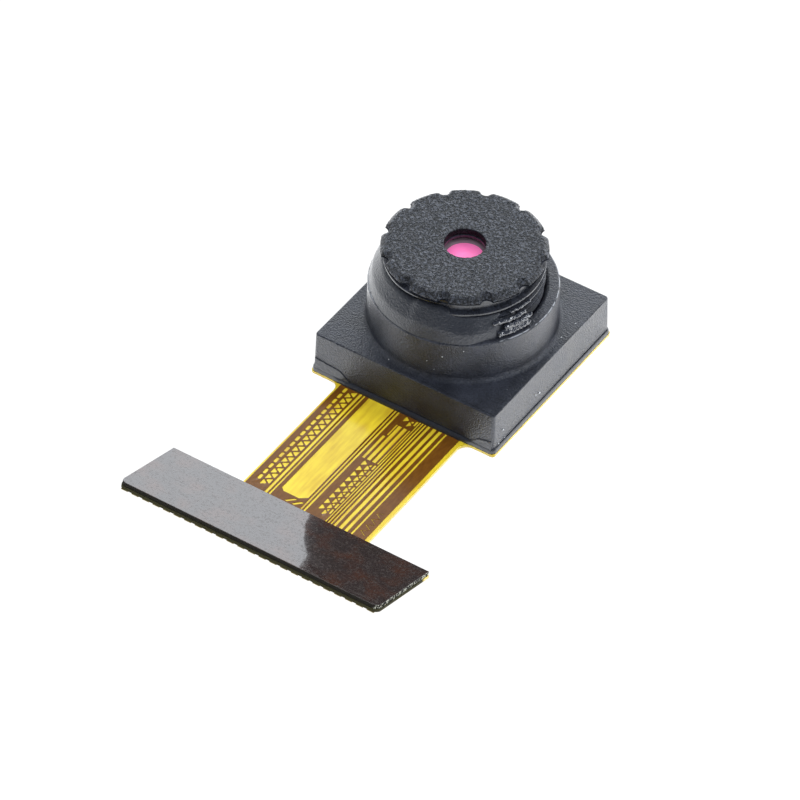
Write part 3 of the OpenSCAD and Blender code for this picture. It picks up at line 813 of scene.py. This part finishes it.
@dataclass
class LensBarrel:
    """The screwed lens barrel: notched grip flange, thread with its run-outs, and the lenses."""

    grip_finish: SparkErodedPlastic = field(
        default_factory=lambda: SparkErodedPlastic("spark_eroded_polycarbonate", "#16181c", 0.34))
    core_finish: SatinPlastic = field(
        default_factory=lambda: SatinPlastic("moulded_polycarbonate", "#17191e", 0.24, grain_mm=0.1,
                                             grain_height_mm=0.0012))
    coating: CoatedLens = field(
        default_factory=lambda: CoatedLens("coated_moulded_lens", "#fb7ab2", 0.3, 1.4))
    edge_mm: float = 0.03
    cap_bottom: float = 5.80
    cap_voxel: float = 0.036
    grain_lump: float = 0.1
    grain_height: float = 0.03
    root_r: float = 3.05
    crest_r: float = 3.25
    pitch: float = 0.37
    root_half: float = 0.14
    crest_share: float = 0.3
    thread_sunk: float = 0.03
    thread_edge_mm: float = 0.025
    thread_top: float = 5.58
    turns: float = 3.7
    steps_per_turn: int = 96
    # Run-outs: their number of steps and their smallest section as a share
    runout_steps: int = 14
    runout_share: float = 0.15
    # Where on the neck they shrink to, as a share of its radius, and how far from there they reach
    runout_foot: float = 0.985
    runout_reach: float = 0.4
    start_angle: float = -57.0

    def cap(self) -> Object:
        """Cuts the grip flange off the CAD solid and gives it soft lips and the raised grain of its mould.

        Returns:
            The grip flange with the front face.
        """
        piece = copy_of("lens_barrel", "barrel_grip_cap")
        cut_at(piece, self.cap_bottom, keep_above=True)
        make_lumpy(piece, self.cap_voxel, self.grain_lump, self.grain_height, smoothing=16, level=0.95)
        return piece

    def core(self) -> Object:
        """Keeps the barrel's neck and lens chamber, with rounded moulded edges.

        Returns:
            The barrel below its flange.
        """
        piece = copy_of("lens_barrel", "barrel_core")
        cut_at(piece, self.cap_bottom, keep_above=False)
        soften(piece, self.edge_mm, angle=32, segments=2)
        return piece

    def thread(self) -> Object:
        """Winds one ridge of thread down the barrel's neck, with both ends run out.

        Returns:
            The thread ridge, sunk slightly into the neck.
        """
        depth = self.crest_r - self.root_r + self.thread_sunk
        middle = self.root_r - self.thread_sunk + depth / 2
        piece = start_piece("barrel_thread", bpy.ops.mesh.primitive_plane_add, size=1.0)
        swing(90, "X")
        stretch(depth * MM, 1, 2 * self.root_half * MM)
        shift(middle, 0, 0)
        select_where(piece, "VERT", lambda v: v.co.x > middle * MM)
        stretch(1, 1, self.crest_share)
        bpy.ops.mesh.select_all(action="SELECT")
        shift(0, 0, self.thread_top - self.pitch * self.turns)
        swing(360 * self.turns - self.start_angle, "Z")
        wind(piece, 360 * self.turns, round(self.steps_per_turn * self.turns), self.pitch * self.turns)
        self._run_out(piece)
        close_up()
        soften(piece, self.thread_edge_mm, angle=25)
        return piece

    def _run_out(self, piece: Object) -> None:
        """Shrinks the first and last sections of the ridge to nothing, in edit mode."""
        total = round(self.steps_per_turn * self.turns)
        bottom = self.thread_top - self.pitch * self.turns
        for step in range(self.runout_steps):
            share = self.runout_share + (1 - self.runout_share) * step / self.runout_steps
            for section in (step, total - step):
                turned = self.turns * section / total
                azimuth = self.start_angle + 360 * (turned - self.turns)
                foot = polar(self.runout_foot * self.root_r, azimuth, bottom + self.pitch * turned)
                side = polar(1, azimuth - 90, 0).normalized()
                select_where(piece, "VERT", lambda v: abs((v.co - foot).dot(side)) < 2 * NEAR
                             and (v.co - foot).length < self.runout_reach * MM
                             and abs(v.co.z - foot.z) < self.pitch * MM / 2)
                stretch(share, share, share, foot)

    def build(self) -> None:
        """Makes and dresses the barrel, its thread and its lenses."""
        plastic = self.core_finish.build()
        settle(self.cap(), self.grip_finish.build(), ("lens_barrel",))
        settle(self.core(), plastic, ("lens_barrel",))
        settle(self.thread(), plastic)
        dress("lens_element_1", self.coating.build())
        clear = FineSurface("polished_clear_lens", "#c9d6da", 0.05, 1.53, "#b7c6cc",
                            0.6, 0.2, 0.0004, 0.65).build()
        for node in ("lens_element_2", "lens_element_3", "lens_element_4"):
            dress(node, clear)
        matt = FineSurface("matt_black_film", "#141415", 0.75, 1.5, "#1d1d1f").build()
        for node in ("aperture_stop", "spacer_ring_2", "spacer_ring_3", "sensor_dam"):
            dress(node, matt)
        dress("lens_retainer", plastic)


@dataclass
class Head:
    """The square lens holder with its round turret, and the adhesives that hold barrel and holder."""

    # The holder's finish paints a highlight on the turret rim's round outer edge
    finish: SatinPlastic = field(
        default_factory=lambda: SatinPlastic("bead_blasted_black_nylon", "#1e2026", 0.36,
                                             highlight_ring=(3.81, 4.14)))
    adhesive: CuredAdhesive = field(
        default_factory=lambda: CuredAdhesive("cured_black_epoxy", "#1e2026", 0.36, 1.5, ripple_mm=0.08,
                                              ripple_height_mm=0.03, light="#32353c"))
    dull_adhesive: CuredAdhesive = field(
        default_factory=lambda: CuredAdhesive("dulled_black_epoxy", "#1e2026", 0.36, 1.5, ripple_mm=0.12,
                                              ripple_height_mm=0.012, light="#34373e"))
    wet_adhesive: CuredAdhesive = field(
        default_factory=lambda: CuredAdhesive("wet_look_black_epoxy", "#2a2d38", 0.05, 1.8,
                                              ripple_mm=0.1, ripple_height_mm=0.012))
    droplet: CuredAdhesive = field(
        default_factory=lambda: CuredAdhesive("clear_adhesive_droplets", "#d9dcdf", 0.2, 1.5,
                                              light="#f2f3f4", ripple_mm=0.03, ripple_height_mm=0.002))
    edge_mm: float = 0.05
    corner_r: float = 0.15
    # The holder's half width and corner radius in the CAD, at its deck and at its foot
    at_deck: tuple[float, float] = (4.25, 0.28)
    at_foot: tuple[float, float] = (4.30, 0.33)
    # Thread lock: corners of its full section, then its reach and climb from azimuth to azimuth
    lock_foot: float = 3.05
    lock_level: float = 4.17
    lock_corners: tuple[tuple[float, float], ...] = (
        (3.02, 3.9), (3.70, 3.80), (3.81, 4.10), (3.66, 4.58), (3.26, 5.10), (3.02, 5.16))
    lock_from: float = -200.0
    lock_sweep: float = 188.0
    lock_reach: tuple[tuple[float, float], ...] = (
        (-200, 0.3), (-188, 1.0), (-55, 1.0), (-38, 0.78), (-26, 0.42), (-12, 0.2))
    lock_climb: tuple[tuple[float, float], ...] = (
        (-200, 0.3), (-188, 1.16), (-97, 1.16), (-90, 1.32), (-76, 1.32), (-58, 0.98), (-38, 0.92),
        (-20, 0.75), (-12, 0.3))
    # Ropes of wet adhesive on the thread: azimuth, sweep, height and radius
    lock_ropes: tuple[tuple[float, float, float, float], ...] = (
        (-11, 24, 4.30, 0.12), (-8, 22, 4.52, 0.11), (-12, 26, 4.76, 0.09), (-6, 18, 5.02, 0.07))
    # The ropes' middle: its radius at this height, and its widening below it
    rope_r: float = 3.27
    rope_top: float = 5.12
    rope_spread: float = 0.38
    rope_sides: int = 12
    rope_steps: int = 16
    # Foot bead: steps of its section outwards from the holder's foot and upwards from the flex
    bead_steps: tuple[tuple[float, float], ...] = (
        (0.055, 0.0), (0.06, 0.05), (0.05, 0.14), (0.038, 0.21), (0.018, 0.235), (0.004, 0.225),
        (-0.01, 0.2), (-0.06, 0.17), (-0.05, 0.0))
    bead_corner: float = 0.2
    bead_cuts: int = 110
    # Its lip waves above this height, with waves so wide and so high
    lip: float = 0.12
    waves: tuple[float, float] = (0.7, 0.16)
    # Along the front it is this share as high, and its toe steps out within these half widths
    front_y: float = -4.2
    front_share: float = 0.4
    front_ramp: float = 0.06
    toe_out: float = 0.04
    ramp_halves: tuple[float, ...] = (3.3, 3.1, 2.8)
    # Smears: thickness, how far they stand out of the wall, and how their tops slope back and down
    smear_t: float = 0.2
    smear_out: float = 0.055
    smear_back: float = 0.03
    smear_drop: float = 0.12
    # Stray droplets on the right wall, the deck and the turret: place and radius
    spots: tuple[tuple[float, float, float, float], ...] = (
        (4.30, -0.95, 1.02, 0.040), (4.30, -1.22, 1.10, 0.028), (4.31, -3.62, 1.10, 0.034),
        (4.33, -3.95, 0.62, 0.030), (4.32, -3.50, 0.60, 0.020),
        (3.95, 1.15, 2.22, 0.026), (3.98, 2.15, 2.22, 0.018), (3.80, -2.60, 2.22, 0.014),
        (1.35, -3.60, 3.45, 0.022), (0.75, -3.77, 3.05, 0.018), (2.10, -3.22, 3.85, 0.022),
        (-0.95, -3.90, 2.30, 0.020), (1.05, -3.70, 2.70, 0.014), (-2.6, -2.85, 3.5, 0.018))

    def shell(self) -> Object:
        """Rounds the holder's moulded edges.

        Returns:
            The holder's shell.
        """
        piece = copy_of("lens_holder", "lens_holder_shell")
        bpy.ops.object.mode_set(mode="EDIT")
        for height, old in ((DECK, self.at_deck), (FILM_TOP, self.at_foot)):
            square_up(piece, height, old, (old[0], self.corner_r))
        bpy.ops.object.mode_set(mode="OBJECT")
        soften(piece, self.edge_mm, angle=40)
        return piece

    def thread_lock(self) -> Object:
        """Sweeps the adhesive that fills the corner between turret and thread, higher and lower as it ran.

        Returns:
            The cured fillet.
        """
        inner, outer, *slope, top, inner_top = self.lock_corners
        piece = start_piece("thread_lock_fillet", bpy.ops.mesh.primitive_plane_add, size=1.0)
        swing(90, "X")
        stretch(MM, MM, MM)
        shift(0.5, 0, 0.5)
        for old, new in zip(((0, 0), (1, 0), (1, 1), (0, 1)), (inner, outer, top, inner_top)):
            move_point(piece, (old[0], 0, old[1]), (new[0], 0, new[1]))
        low, high = (Vector((r, 0, z)) for r, z in (outer, top))
        select_where(piece, "EDGE", lambda e: all(min((v.co - end * MM).length for end in (low, high)) < NEAR
                                                  for v in e.verts))
        bpy.ops.mesh.subdivide(number_cuts=len(slope))
        for part, (r, z) in enumerate(slope, start=1):
            move_point(piece, tuple(low.lerp(high, part / (len(slope) + 1))), (r, 0, z))
        bpy.ops.mesh.select_all(action="SELECT")
        swing(-self.lock_from, "Z")
        wind(piece, self.lock_sweep, round(self.lock_sweep))
        for section in range(round(self.lock_sweep) + 1):
            azimuth = self.lock_from + section
            ray = polar(1, azimuth, 0).normalized()
            side = ray.cross(Vector((0, 0, 1)))
            select_where(piece, "VERT", lambda v: abs(v.co.dot(side)) < NEAR and v.co.dot(ray) > 0)
            reach, climb = (between(table, azimuth) for table in (self.lock_reach, self.lock_climb))
            stretch(reach, reach, climb, polar(self.lock_foot, azimuth, self.lock_level))
        close_up()
        make_lumpy(piece, voxel=0.045, lump=0.9, height=0.02, smoothing=30)
        return piece

    def lock_dab(self) -> Object:
        """Lays short wet ropes of adhesive along the thread where the fillet ends, run together.

        Returns:
            The dab.
        """
        piece = start_piece("thread_lock_dab", bpy.ops.mesh.primitive_circle_add, radius=MM)
        bpy.ops.mesh.delete(type="VERT")
        for azimuth, sweep, height, radius in self.lock_ropes:
            middle = self.rope_r + self.rope_spread * (self.rope_top - height)
            bpy.ops.mesh.select_all(action="DESELECT")
            bpy.ops.mesh.primitive_circle_add(vertices=self.rope_sides, radius=radius * MM, fill_type="NGON",
                                              location=Vector((middle, 0, height)) * MM,
                                              rotation=(math.pi / 2, 0, 0))
            swing(-azimuth, "Z")
            bpy.ops.mesh.spin(steps=self.rope_steps, angle=math.radians(sweep), center=(0, 0, 0),
                              axis=(0, 0, 1))
        close_up()
        make_lumpy(piece, voxel=0.028, lump=0.13, height=0.13, smoothing=3)
        return piece

    def foot_bead(self) -> Object:
        """Raises the adhesive's skirt round the holder's foot, ring by ring, with a wavy lip and a groove.

        Returns:
            The skirt, low along the front.
        """
        foot, floor = self.at_foot[0], FILM_TOP * MM
        outset, rise = self.bead_steps[0]
        piece = start_piece("holder_foot_skirt", bpy.ops.mesh.primitive_plane_add,
                            size=2 * MM * (foot + outset), location=(0, 0, floor))
        bpy.ops.mesh.bevel(offset=self.bead_corner * MM, segments=6, affect="VERTICES")
        select_where(piece, "EDGE", lambda e: e.calc_length() > 1 * MM)
        bpy.ops.mesh.subdivide(number_cuts=self.bead_cuts)
        bpy.ops.mesh.select_all(action="SELECT")
        bpy.ops.mesh.delete(type="ONLY_FACE")
        bpy.ops.mesh.select_all(action="SELECT")
        for outer, height in self.bead_steps[1:]:
            bpy.ops.mesh.extrude_region_move(TRANSFORM_OT_translate={"value": (0, 0, (height - rise) * MM)})
            share = (foot + outer) / (foot + outset)
            stretch(share, share, 1)
            outset, rise = outer, height
        select_where(piece, "EDGE", lambda e: e.is_boundary)
        bpy.ops.mesh.bridge_edge_loops()
        bpy.ops.mesh.select_all(action="SELECT")
        bpy.ops.mesh.normals_make_consistent(inside=False)
        select_where(piece, "VERT", lambda v: v.co.z > floor + self.lip * MM)
        bpy.ops.object.vertex_group_add()
        bpy.ops.object.vertex_group_assign()
        select_where(piece, "VERT", lambda v: v.co.y < self.front_y * MM and v.co.z > floor + NEAR)
        stretch(1, 1, self.front_share, (0, 0, floor))
        toe = -(foot + self.toe_out) * MM
        for half in self.ramp_halves:
            select_where(piece, "VERT", lambda v: v.co.y < toe and v.co.z < floor + NEAR
                         and abs(v.co.x) < half * MM)
            shift(0, -self.front_ramp / len(self.ramp_halves), 0)
        bpy.ops.object.mode_set(mode="OBJECT")
        size, height = self.waves
        waves = piece.modifiers.new("waves", "DISPLACE")
        waves.texture = clouds("skirt_waves", size, 3)
        waves.vertex_group = piece.vertex_groups[0].name
        waves.direction = "Z"
        waves.strength = height * MM
        waves.mid_level = 0.5
        apply_modifiers(piece)
        bpy.ops.object.shade_smooth_by_angle(angle=math.radians(50))
        return piece

    def smear(self, name: str, left: float, right: float, top: float, taper: float) -> Object:
        """Spreads one thin smear on the holder's front wall, with a spongy skin.

        Args:
            name: the piece's name.
            left: where it starts across the front, in millimetres.
            right: where it ends.
            top: its height above the flex.
            taper: how far its top falls short towards the middle of the wall, signed across the front.

        Returns:
            The smear.
        """
        centre, half_way = (left + right) / 2, FILM_TOP + top / 2
        piece = start_piece(name, bpy.ops.mesh.primitive_cube_add, size=1.0)
        stretch((right - left) * MM, self.smear_t * MM, top * MM)
        shift(centre, self.smear_out - self.at_foot[0], half_way)
        select_where(piece, "FACE", lambda f: f.normal.z > 0.9)
        shift(0, self.smear_back, 0)
        inward = 1 if taper < 0 else -1
        select_where(piece, "VERT", lambda v: v.co.z > half_way * MM and (v.co.x - centre * MM) * inward > 0)
        shift(taper, 0, -self.smear_drop)
        bpy.ops.object.mode_set(mode="OBJECT")
        make_lumpy(piece, voxel=0.03, lump=0.16, height=0.035, smoothing=8)
        return piece

    def droplets(self) -> Object:
        """Scatters the stray droplets of clear adhesive that landed on the wall, the deck and the turret.

        Returns:
            All the droplets as one piece.
        """
        piece = start_piece("stray_droplets", bpy.ops.mesh.primitive_circle_add, radius=MM)
        bpy.ops.mesh.delete(type="VERT")
        for *spot, radius in self.spots:
            bpy.ops.mesh.primitive_ico_sphere_add(subdivisions=2, radius=radius * MM,
                                                  location=Vector(spot) * MM)
        bpy.ops.object.mode_set(mode="OBJECT")
        make_lumpy(piece, voxel=0.009, lump=0.1, height=0.012, smoothing=2)
        return piece

    def build(self) -> None:
        """Makes and dresses the holder and its adhesives."""
        settle(self.shell(), self.finish.build(), ("lens_holder",))
        settle(self.thread_lock(), self.adhesive.build(), ("thread_lock_adhesive",))
        settle(self.lock_dab(), self.wet_adhesive.build())
        dull = self.dull_adhesive.build()
        settle(self.foot_bead(), dull, ("holder_adhesive",))
        settle(self.smear("foot_smear_left", -4.22, -2.2, 0.74, -0.8), dull)
        settle(self.smear("foot_smear_right", 3.0, 4.22, 0.66, 0.6), dull)
        settle(self.droplets(), self.droplet.build())


@dataclass
class SensorStack:
    """What the head hides: filter, cover glass, sensor die, solder and capacitors."""

    def build(self) -> None:
        """Dresses the hidden parts, which keep their CAD shapes."""
        tin = {"dark": "#9a9ca0", "grain_mm": 0.06, "stretch": (1.0, 1.0, 1.0)}
        finishes = {
            "ir_filter": FineSurface("coated_filter_glass", "#8fd8c6", 0.04, 1.52, "#a5c9e0",
                                     1.2, 0.3, 0.0003, 0.5),
            "filter_adhesive": FineSurface("clear_cured_adhesive", "#d8d2c0", 0.2, 1.5, "#c9bfa2"),
            "sensor_cover_glass": FineSurface("polished_cover_glass", "#cddde0", 0.04, 1.52, "#bcd0d4",
                                              1.0, 0.3, 0.0003, 0.7),
            "sensor_die": FineSurface("polished_silicon", "#3d4654", 0.18, 3.4, "#5a5064",
                                      0.25, 0.02, 0.0004),
            "sensor_solder_balls": GrainedMetal("reflowed_solder", "#c9cbce", 0.32, **tin),
            "capacitor_bodies": FineSurface("sintered_ceramic", "#9d7955", 0.5, 1.6, "#8a6845"),
            "capacitor_terminals": GrainedMetal("tinned_terminal", "#c9cbce", 0.34, **tin),
        }
        for node, finish in finishes.items():
            dress(node, finish.build())


@dataclass
class Flex:
    """The printed flex: film, copper pattern, steel plate under the head, and stiffened contact tongue."""

    film: AmberFilm = field(
        default_factory=lambda: AmberFilm("laminated_polyimide_film", "#f6da36", 0.16, 1.5))
    copper: BuriedCopper = field(
        default_factory=lambda: BuriedCopper("copper_under_film", "#5a3512", 0.2, 1.4))
    stiffener: DarkStiffener = field(
        default_factory=lambda: DarkStiffener("pressed_dark_polyimide", "#322a28", 0.04, 1.65))
    steel_finish: GrainedMetal = field(
        default_factory=lambda: GrainedMetal("rolled_stainless_steel", "#d0d2d4", 0.34, dark="#a6a8aa"))
    gold: GrainedMetal = field(
        default_factory=lambda: GrainedMetal("gold_plated_copper", "#e3b65a", 0.28, dark="#b98a35",
                                             grain_mm=0.08, stretch=(1.0, 0.2, 1.0), cut="#4c4526"))
    stiffener_edge_mm: float = 0.02
    copper_edge_mm: float = 0.012
    # Half width and corner radius of the pad and the steel in the CAD, and of the squared pad
    pad: tuple[float, float] = (4.30, 0.30)
    steel: tuple[float, float] = (4.25, 0.30)
    squared: tuple[float, float] = (4.37, 0.15)
    steel_inset: float = 0.02
    # Where the neck's roots lie: how far out on both sides, and how far along the flex
    root_x: tuple[float, float] = (2.9, 3.5)
    root_y: tuple[float, float] = (-4.8, -4.25)

    def squared_film(self) -> Object:
        """Squares up the film's pad under the head, with the roots of its neck.

        Returns:
            The whole film.
        """
        piece = copy_of("flex_film", "flex_film_squared")
        bpy.ops.object.mode_set(mode="EDIT")
        for height in (FILM_BOTTOM, FILM_TOP):
            square_up(piece, height, self.pad, self.squared)
        select_where(piece, "VERT", lambda v: self.root_x[0] * MM < abs(v.co.x) < self.root_x[1] * MM
                     and self.root_y[0] * MM < v.co.y < self.root_y[1] * MM)
        shift(0, self.pad[0] - self.squared[0], 0)
        bpy.ops.object.mode_set(mode="OBJECT")
        return piece

    def pattern(self) -> Object:
        """Softens the etched edges of the copper, where the film over it rounds them."""
        piece = copy_of("flex_copper", "flex_copper_relief")
        soften(piece, self.copper_edge_mm, angle=50, segments=2)
        return piece

    def squared_steel(self) -> Object:
        """Squares up the steel plate under the pad."""
        piece = copy_of("head_stiffener", "head_stiffener_squared")
        bpy.ops.object.mode_set(mode="EDIT")
        for height in (0.0, FILM_BOTTOM):
            square_up(piece, height, self.steel, (self.squared[0] - self.steel_inset, self.squared[1]))
        bpy.ops.object.mode_set(mode="OBJECT")
        soften(piece, self.stiffener_edge_mm, angle=40, segments=2)
        return piece

    def plate(self) -> Object:
        """Rounds the stiffener's pressed edges slightly."""
        piece = copy_of("contact_stiffener", "contact_stiffener_plate")
        soften(piece, self.stiffener_edge_mm, angle=40, segments=2)
        return piece

    def build(self) -> None:
        """Makes and dresses the film, the copper and both plates, and gilds the fingers."""
        settle(self.plate(), self.stiffener.build(), ("contact_stiffener",))
        settle(self.squared_film(), self.film.build(), ("flex_film",))
        settle(self.pattern(), self.copper.build(), ("flex_copper",))
        settle(self.squared_steel(), self.steel_finish.build(), ("head_stiffener",))
        dress("contact_fingers", self.gold.build())


# ---------------------------------------------------------------- studio


@dataclass
class Softbox:
    """One rectangular studio light that gives off an even radiance."""

    name: str
    azimuth: float
    elevation: float
    distance: float
    width: float
    height: float
    radiance: float
    mirrored: bool = True

    def build(self, aim: Vector) -> None:
        """Hangs the light and turns it to the module.

        Args:
            aim: the point it faces.
        """
        a, e = math.radians(self.azimuth), math.radians(self.elevation)
        away = Vector((math.cos(a) * math.cos(e), math.sin(a) * math.cos(e), math.sin(e)))
        lamp = bpy.data.lights.new(self.name, "AREA")
        lamp.shape = "RECTANGLE"
        lamp.size = self.width
        lamp.size_y = self.height
        lamp.energy = self.radiance * math.pi * self.width * self.height
        lamp.color = COOL[:3]
        holder = bpy.data.objects.new(self.name, lamp)
        holder.location = aim + away * self.distance
        holder.rotation_mode = "QUATERNION"
        holder.rotation_quaternion = away.to_track_quat("Z", "Y")
        holder.visible_camera = False
        holder.visible_glossy = self.mirrored
        bpy.context.scene.collection.objects.link(holder)


@dataclass
class Studio:
    """Camera, pale floor, white surroundings and softboxes."""

    aim: Vector = field(default_factory=lambda: Vector((-0.443, -3.791, 0.27)) * MM)
    azimuth: float = 32.652
    elevation: float = 43.839
    roll: float = 1.392
    distance: float = 223.64 * MM
    lens_mm: float = 252.71
    sky: float = 0.9
    # The room is dark on one side: where that side lies, its level as a share, and the cosines where
    # it starts and is fully dark
    dark_side: Vector = field(default_factory=lambda: Vector((0.389, -0.607, 0.693)))
    dark_level: float = 0.1
    dark_from: tuple[float, float] = (0.17, 0.57)
    mirrored_floor: float = 2.0
    floor_size: float = 0.6
    softboxes: tuple[Softbox, ...] = (
        Softbox("low_softbox", 114.0, 15.0, 0.2, 0.26, 0.11, 2.7),
        Softbox("high_softbox", 122.0, 46.0, 0.2, 0.18, 0.09, 0.75),
        Softbox("front_fill", -57.0, 62.0, 0.25, 0.2, 0.2, 4.2, mirrored=False),
        Softbox("side_spark", 20.0, 35.0, 0.2, 0.04, 0.04, 26.0),
    )

    def camera(self) -> None:
        """Sets the camera at its angle, with its small roll."""
        a, e = math.radians(self.azimuth), math.radians(self.elevation)
        back = Vector((math.sin(a) * math.cos(e), -math.cos(a) * math.cos(e), math.sin(e)))
        data = bpy.data.cameras.new("camera")
        data.lens = self.lens_mm
        data.sensor_width = 36
        data.clip_start, data.clip_end = 0.01, 5
        holder = bpy.data.objects.new("camera", data)
        holder.location = self.aim + back * self.distance
        right = (-back).cross(Vector((0, 0, 1))).normalized()
        up = right.cross(-back)
        c, s = math.cos(math.radians(self.roll)), math.sin(math.radians(self.roll))
        turned_right, turned_up = right * c + up * s, up * c - right * s
        holder.rotation_mode = "QUATERNION"
        holder.rotation_quaternion = Matrix((turned_right, turned_up, back)).transposed().to_quaternion()
        bpy.context.scene.collection.objects.link(holder)
        bpy.context.scene.camera = holder

    def floor(self) -> None:
        """Lays a pale floor that reads as white but keeps a faint shadow."""
        bpy.ops.object.select_all(action="DESELECT")
        bpy.ops.mesh.primitive_plane_add(size=self.floor_size, location=(0, 0, -0.01 * MM))
        floor = bpy.context.object
        floor.name = "floor"
        material = bpy.data.materials.new("pale_floor")
        material.use_nodes = True
        tree = material.node_tree
        shader = tree.nodes["Principled BSDF"]
        shader.inputs["Roughness"].default_value = 1.0
        shader.inputs["Specular IOR Level"].default_value = 0.0
        path = add_node(tree, "LightPath").node.outputs
        seen = path["Is Camera Ray"]
        mirrored = add_node(tree, "Math", {0: path["Is Glossy Ray"], 1: self.mirrored_floor},
                            operation="MULTIPLY")
        glow = add_node(tree, "Math", {0: seen, 1: mirrored}, operation="ADD")
        paleness = add_node(tree, "Mix", {MIX_FACTOR: seen, MIX_A: "#dcdcdc", MIX_B: "#4a4a4a"}, **COLOURS)
        feed(shader, {"Base Color": paleness, "Emission Strength": glow})
        shader.inputs["Emission Color"].default_value = (1, 1, 1, 1)
        floor.data.materials.append(material)

    def surroundings(self) -> None:
        """Makes the world white to the eye, and for light and mirrors a pale room with one dark side."""
        world = bpy.data.worlds.new("white_surroundings")
        bpy.context.scene.world = world
        world.use_nodes = True
        tree = world.node_tree
        path = add_node(tree, "LightPath").node.outputs
        direction = add_node(tree, "TexCoord", {}, "Generated")
        facing = add_node(tree, "VectorMath", {0: direction, 1: self.dark_side},
                          "Value", operation="DOT_PRODUCT")
        room = add_node(tree, "MapRange", {"Value": facing, "From Min": self.dark_from[0],
                                           "From Max": self.dark_from[1], "To Min": self.sky,
                                           "To Max": self.sky * self.dark_level},
                        interpolation_type="SMOOTHSTEP")
        shown = add_node(tree, "Math", {0: path["Is Camera Ray"], 1: path["Is Transmission Ray"]},
                         operation="MAXIMUM")
        strength = add_node(tree, "MapRange", {"Value": shown, "To Min": room, "To Max": 1.0})
        tint = add_node(tree, "Mix", {MIX_FACTOR: shown, MIX_A: COOL, MIX_B: (1.0, 1.0, 1.0, 1.0)}, **COLOURS)
        feed(tree.nodes["Background"], {"Color": tint, "Strength": strength})

    def build(self) -> None:
        """Sets up camera, floor, surroundings and lights."""
        self.camera()
        self.floor()
        self.surroundings()
        for softbox in self.softboxes:
            softbox.build(self.aim)
        bpy.context.scene.view_settings.view_transform = "Standard"


def main() -> None:
    logging.basicConfig(level=logging.INFO, format="%(message)s")
    Studio().build()
    LensBarrel().build()
    Head().build()
    SensorStack().build()
    Flex().build()


if __name__ == "__main__":
    main()
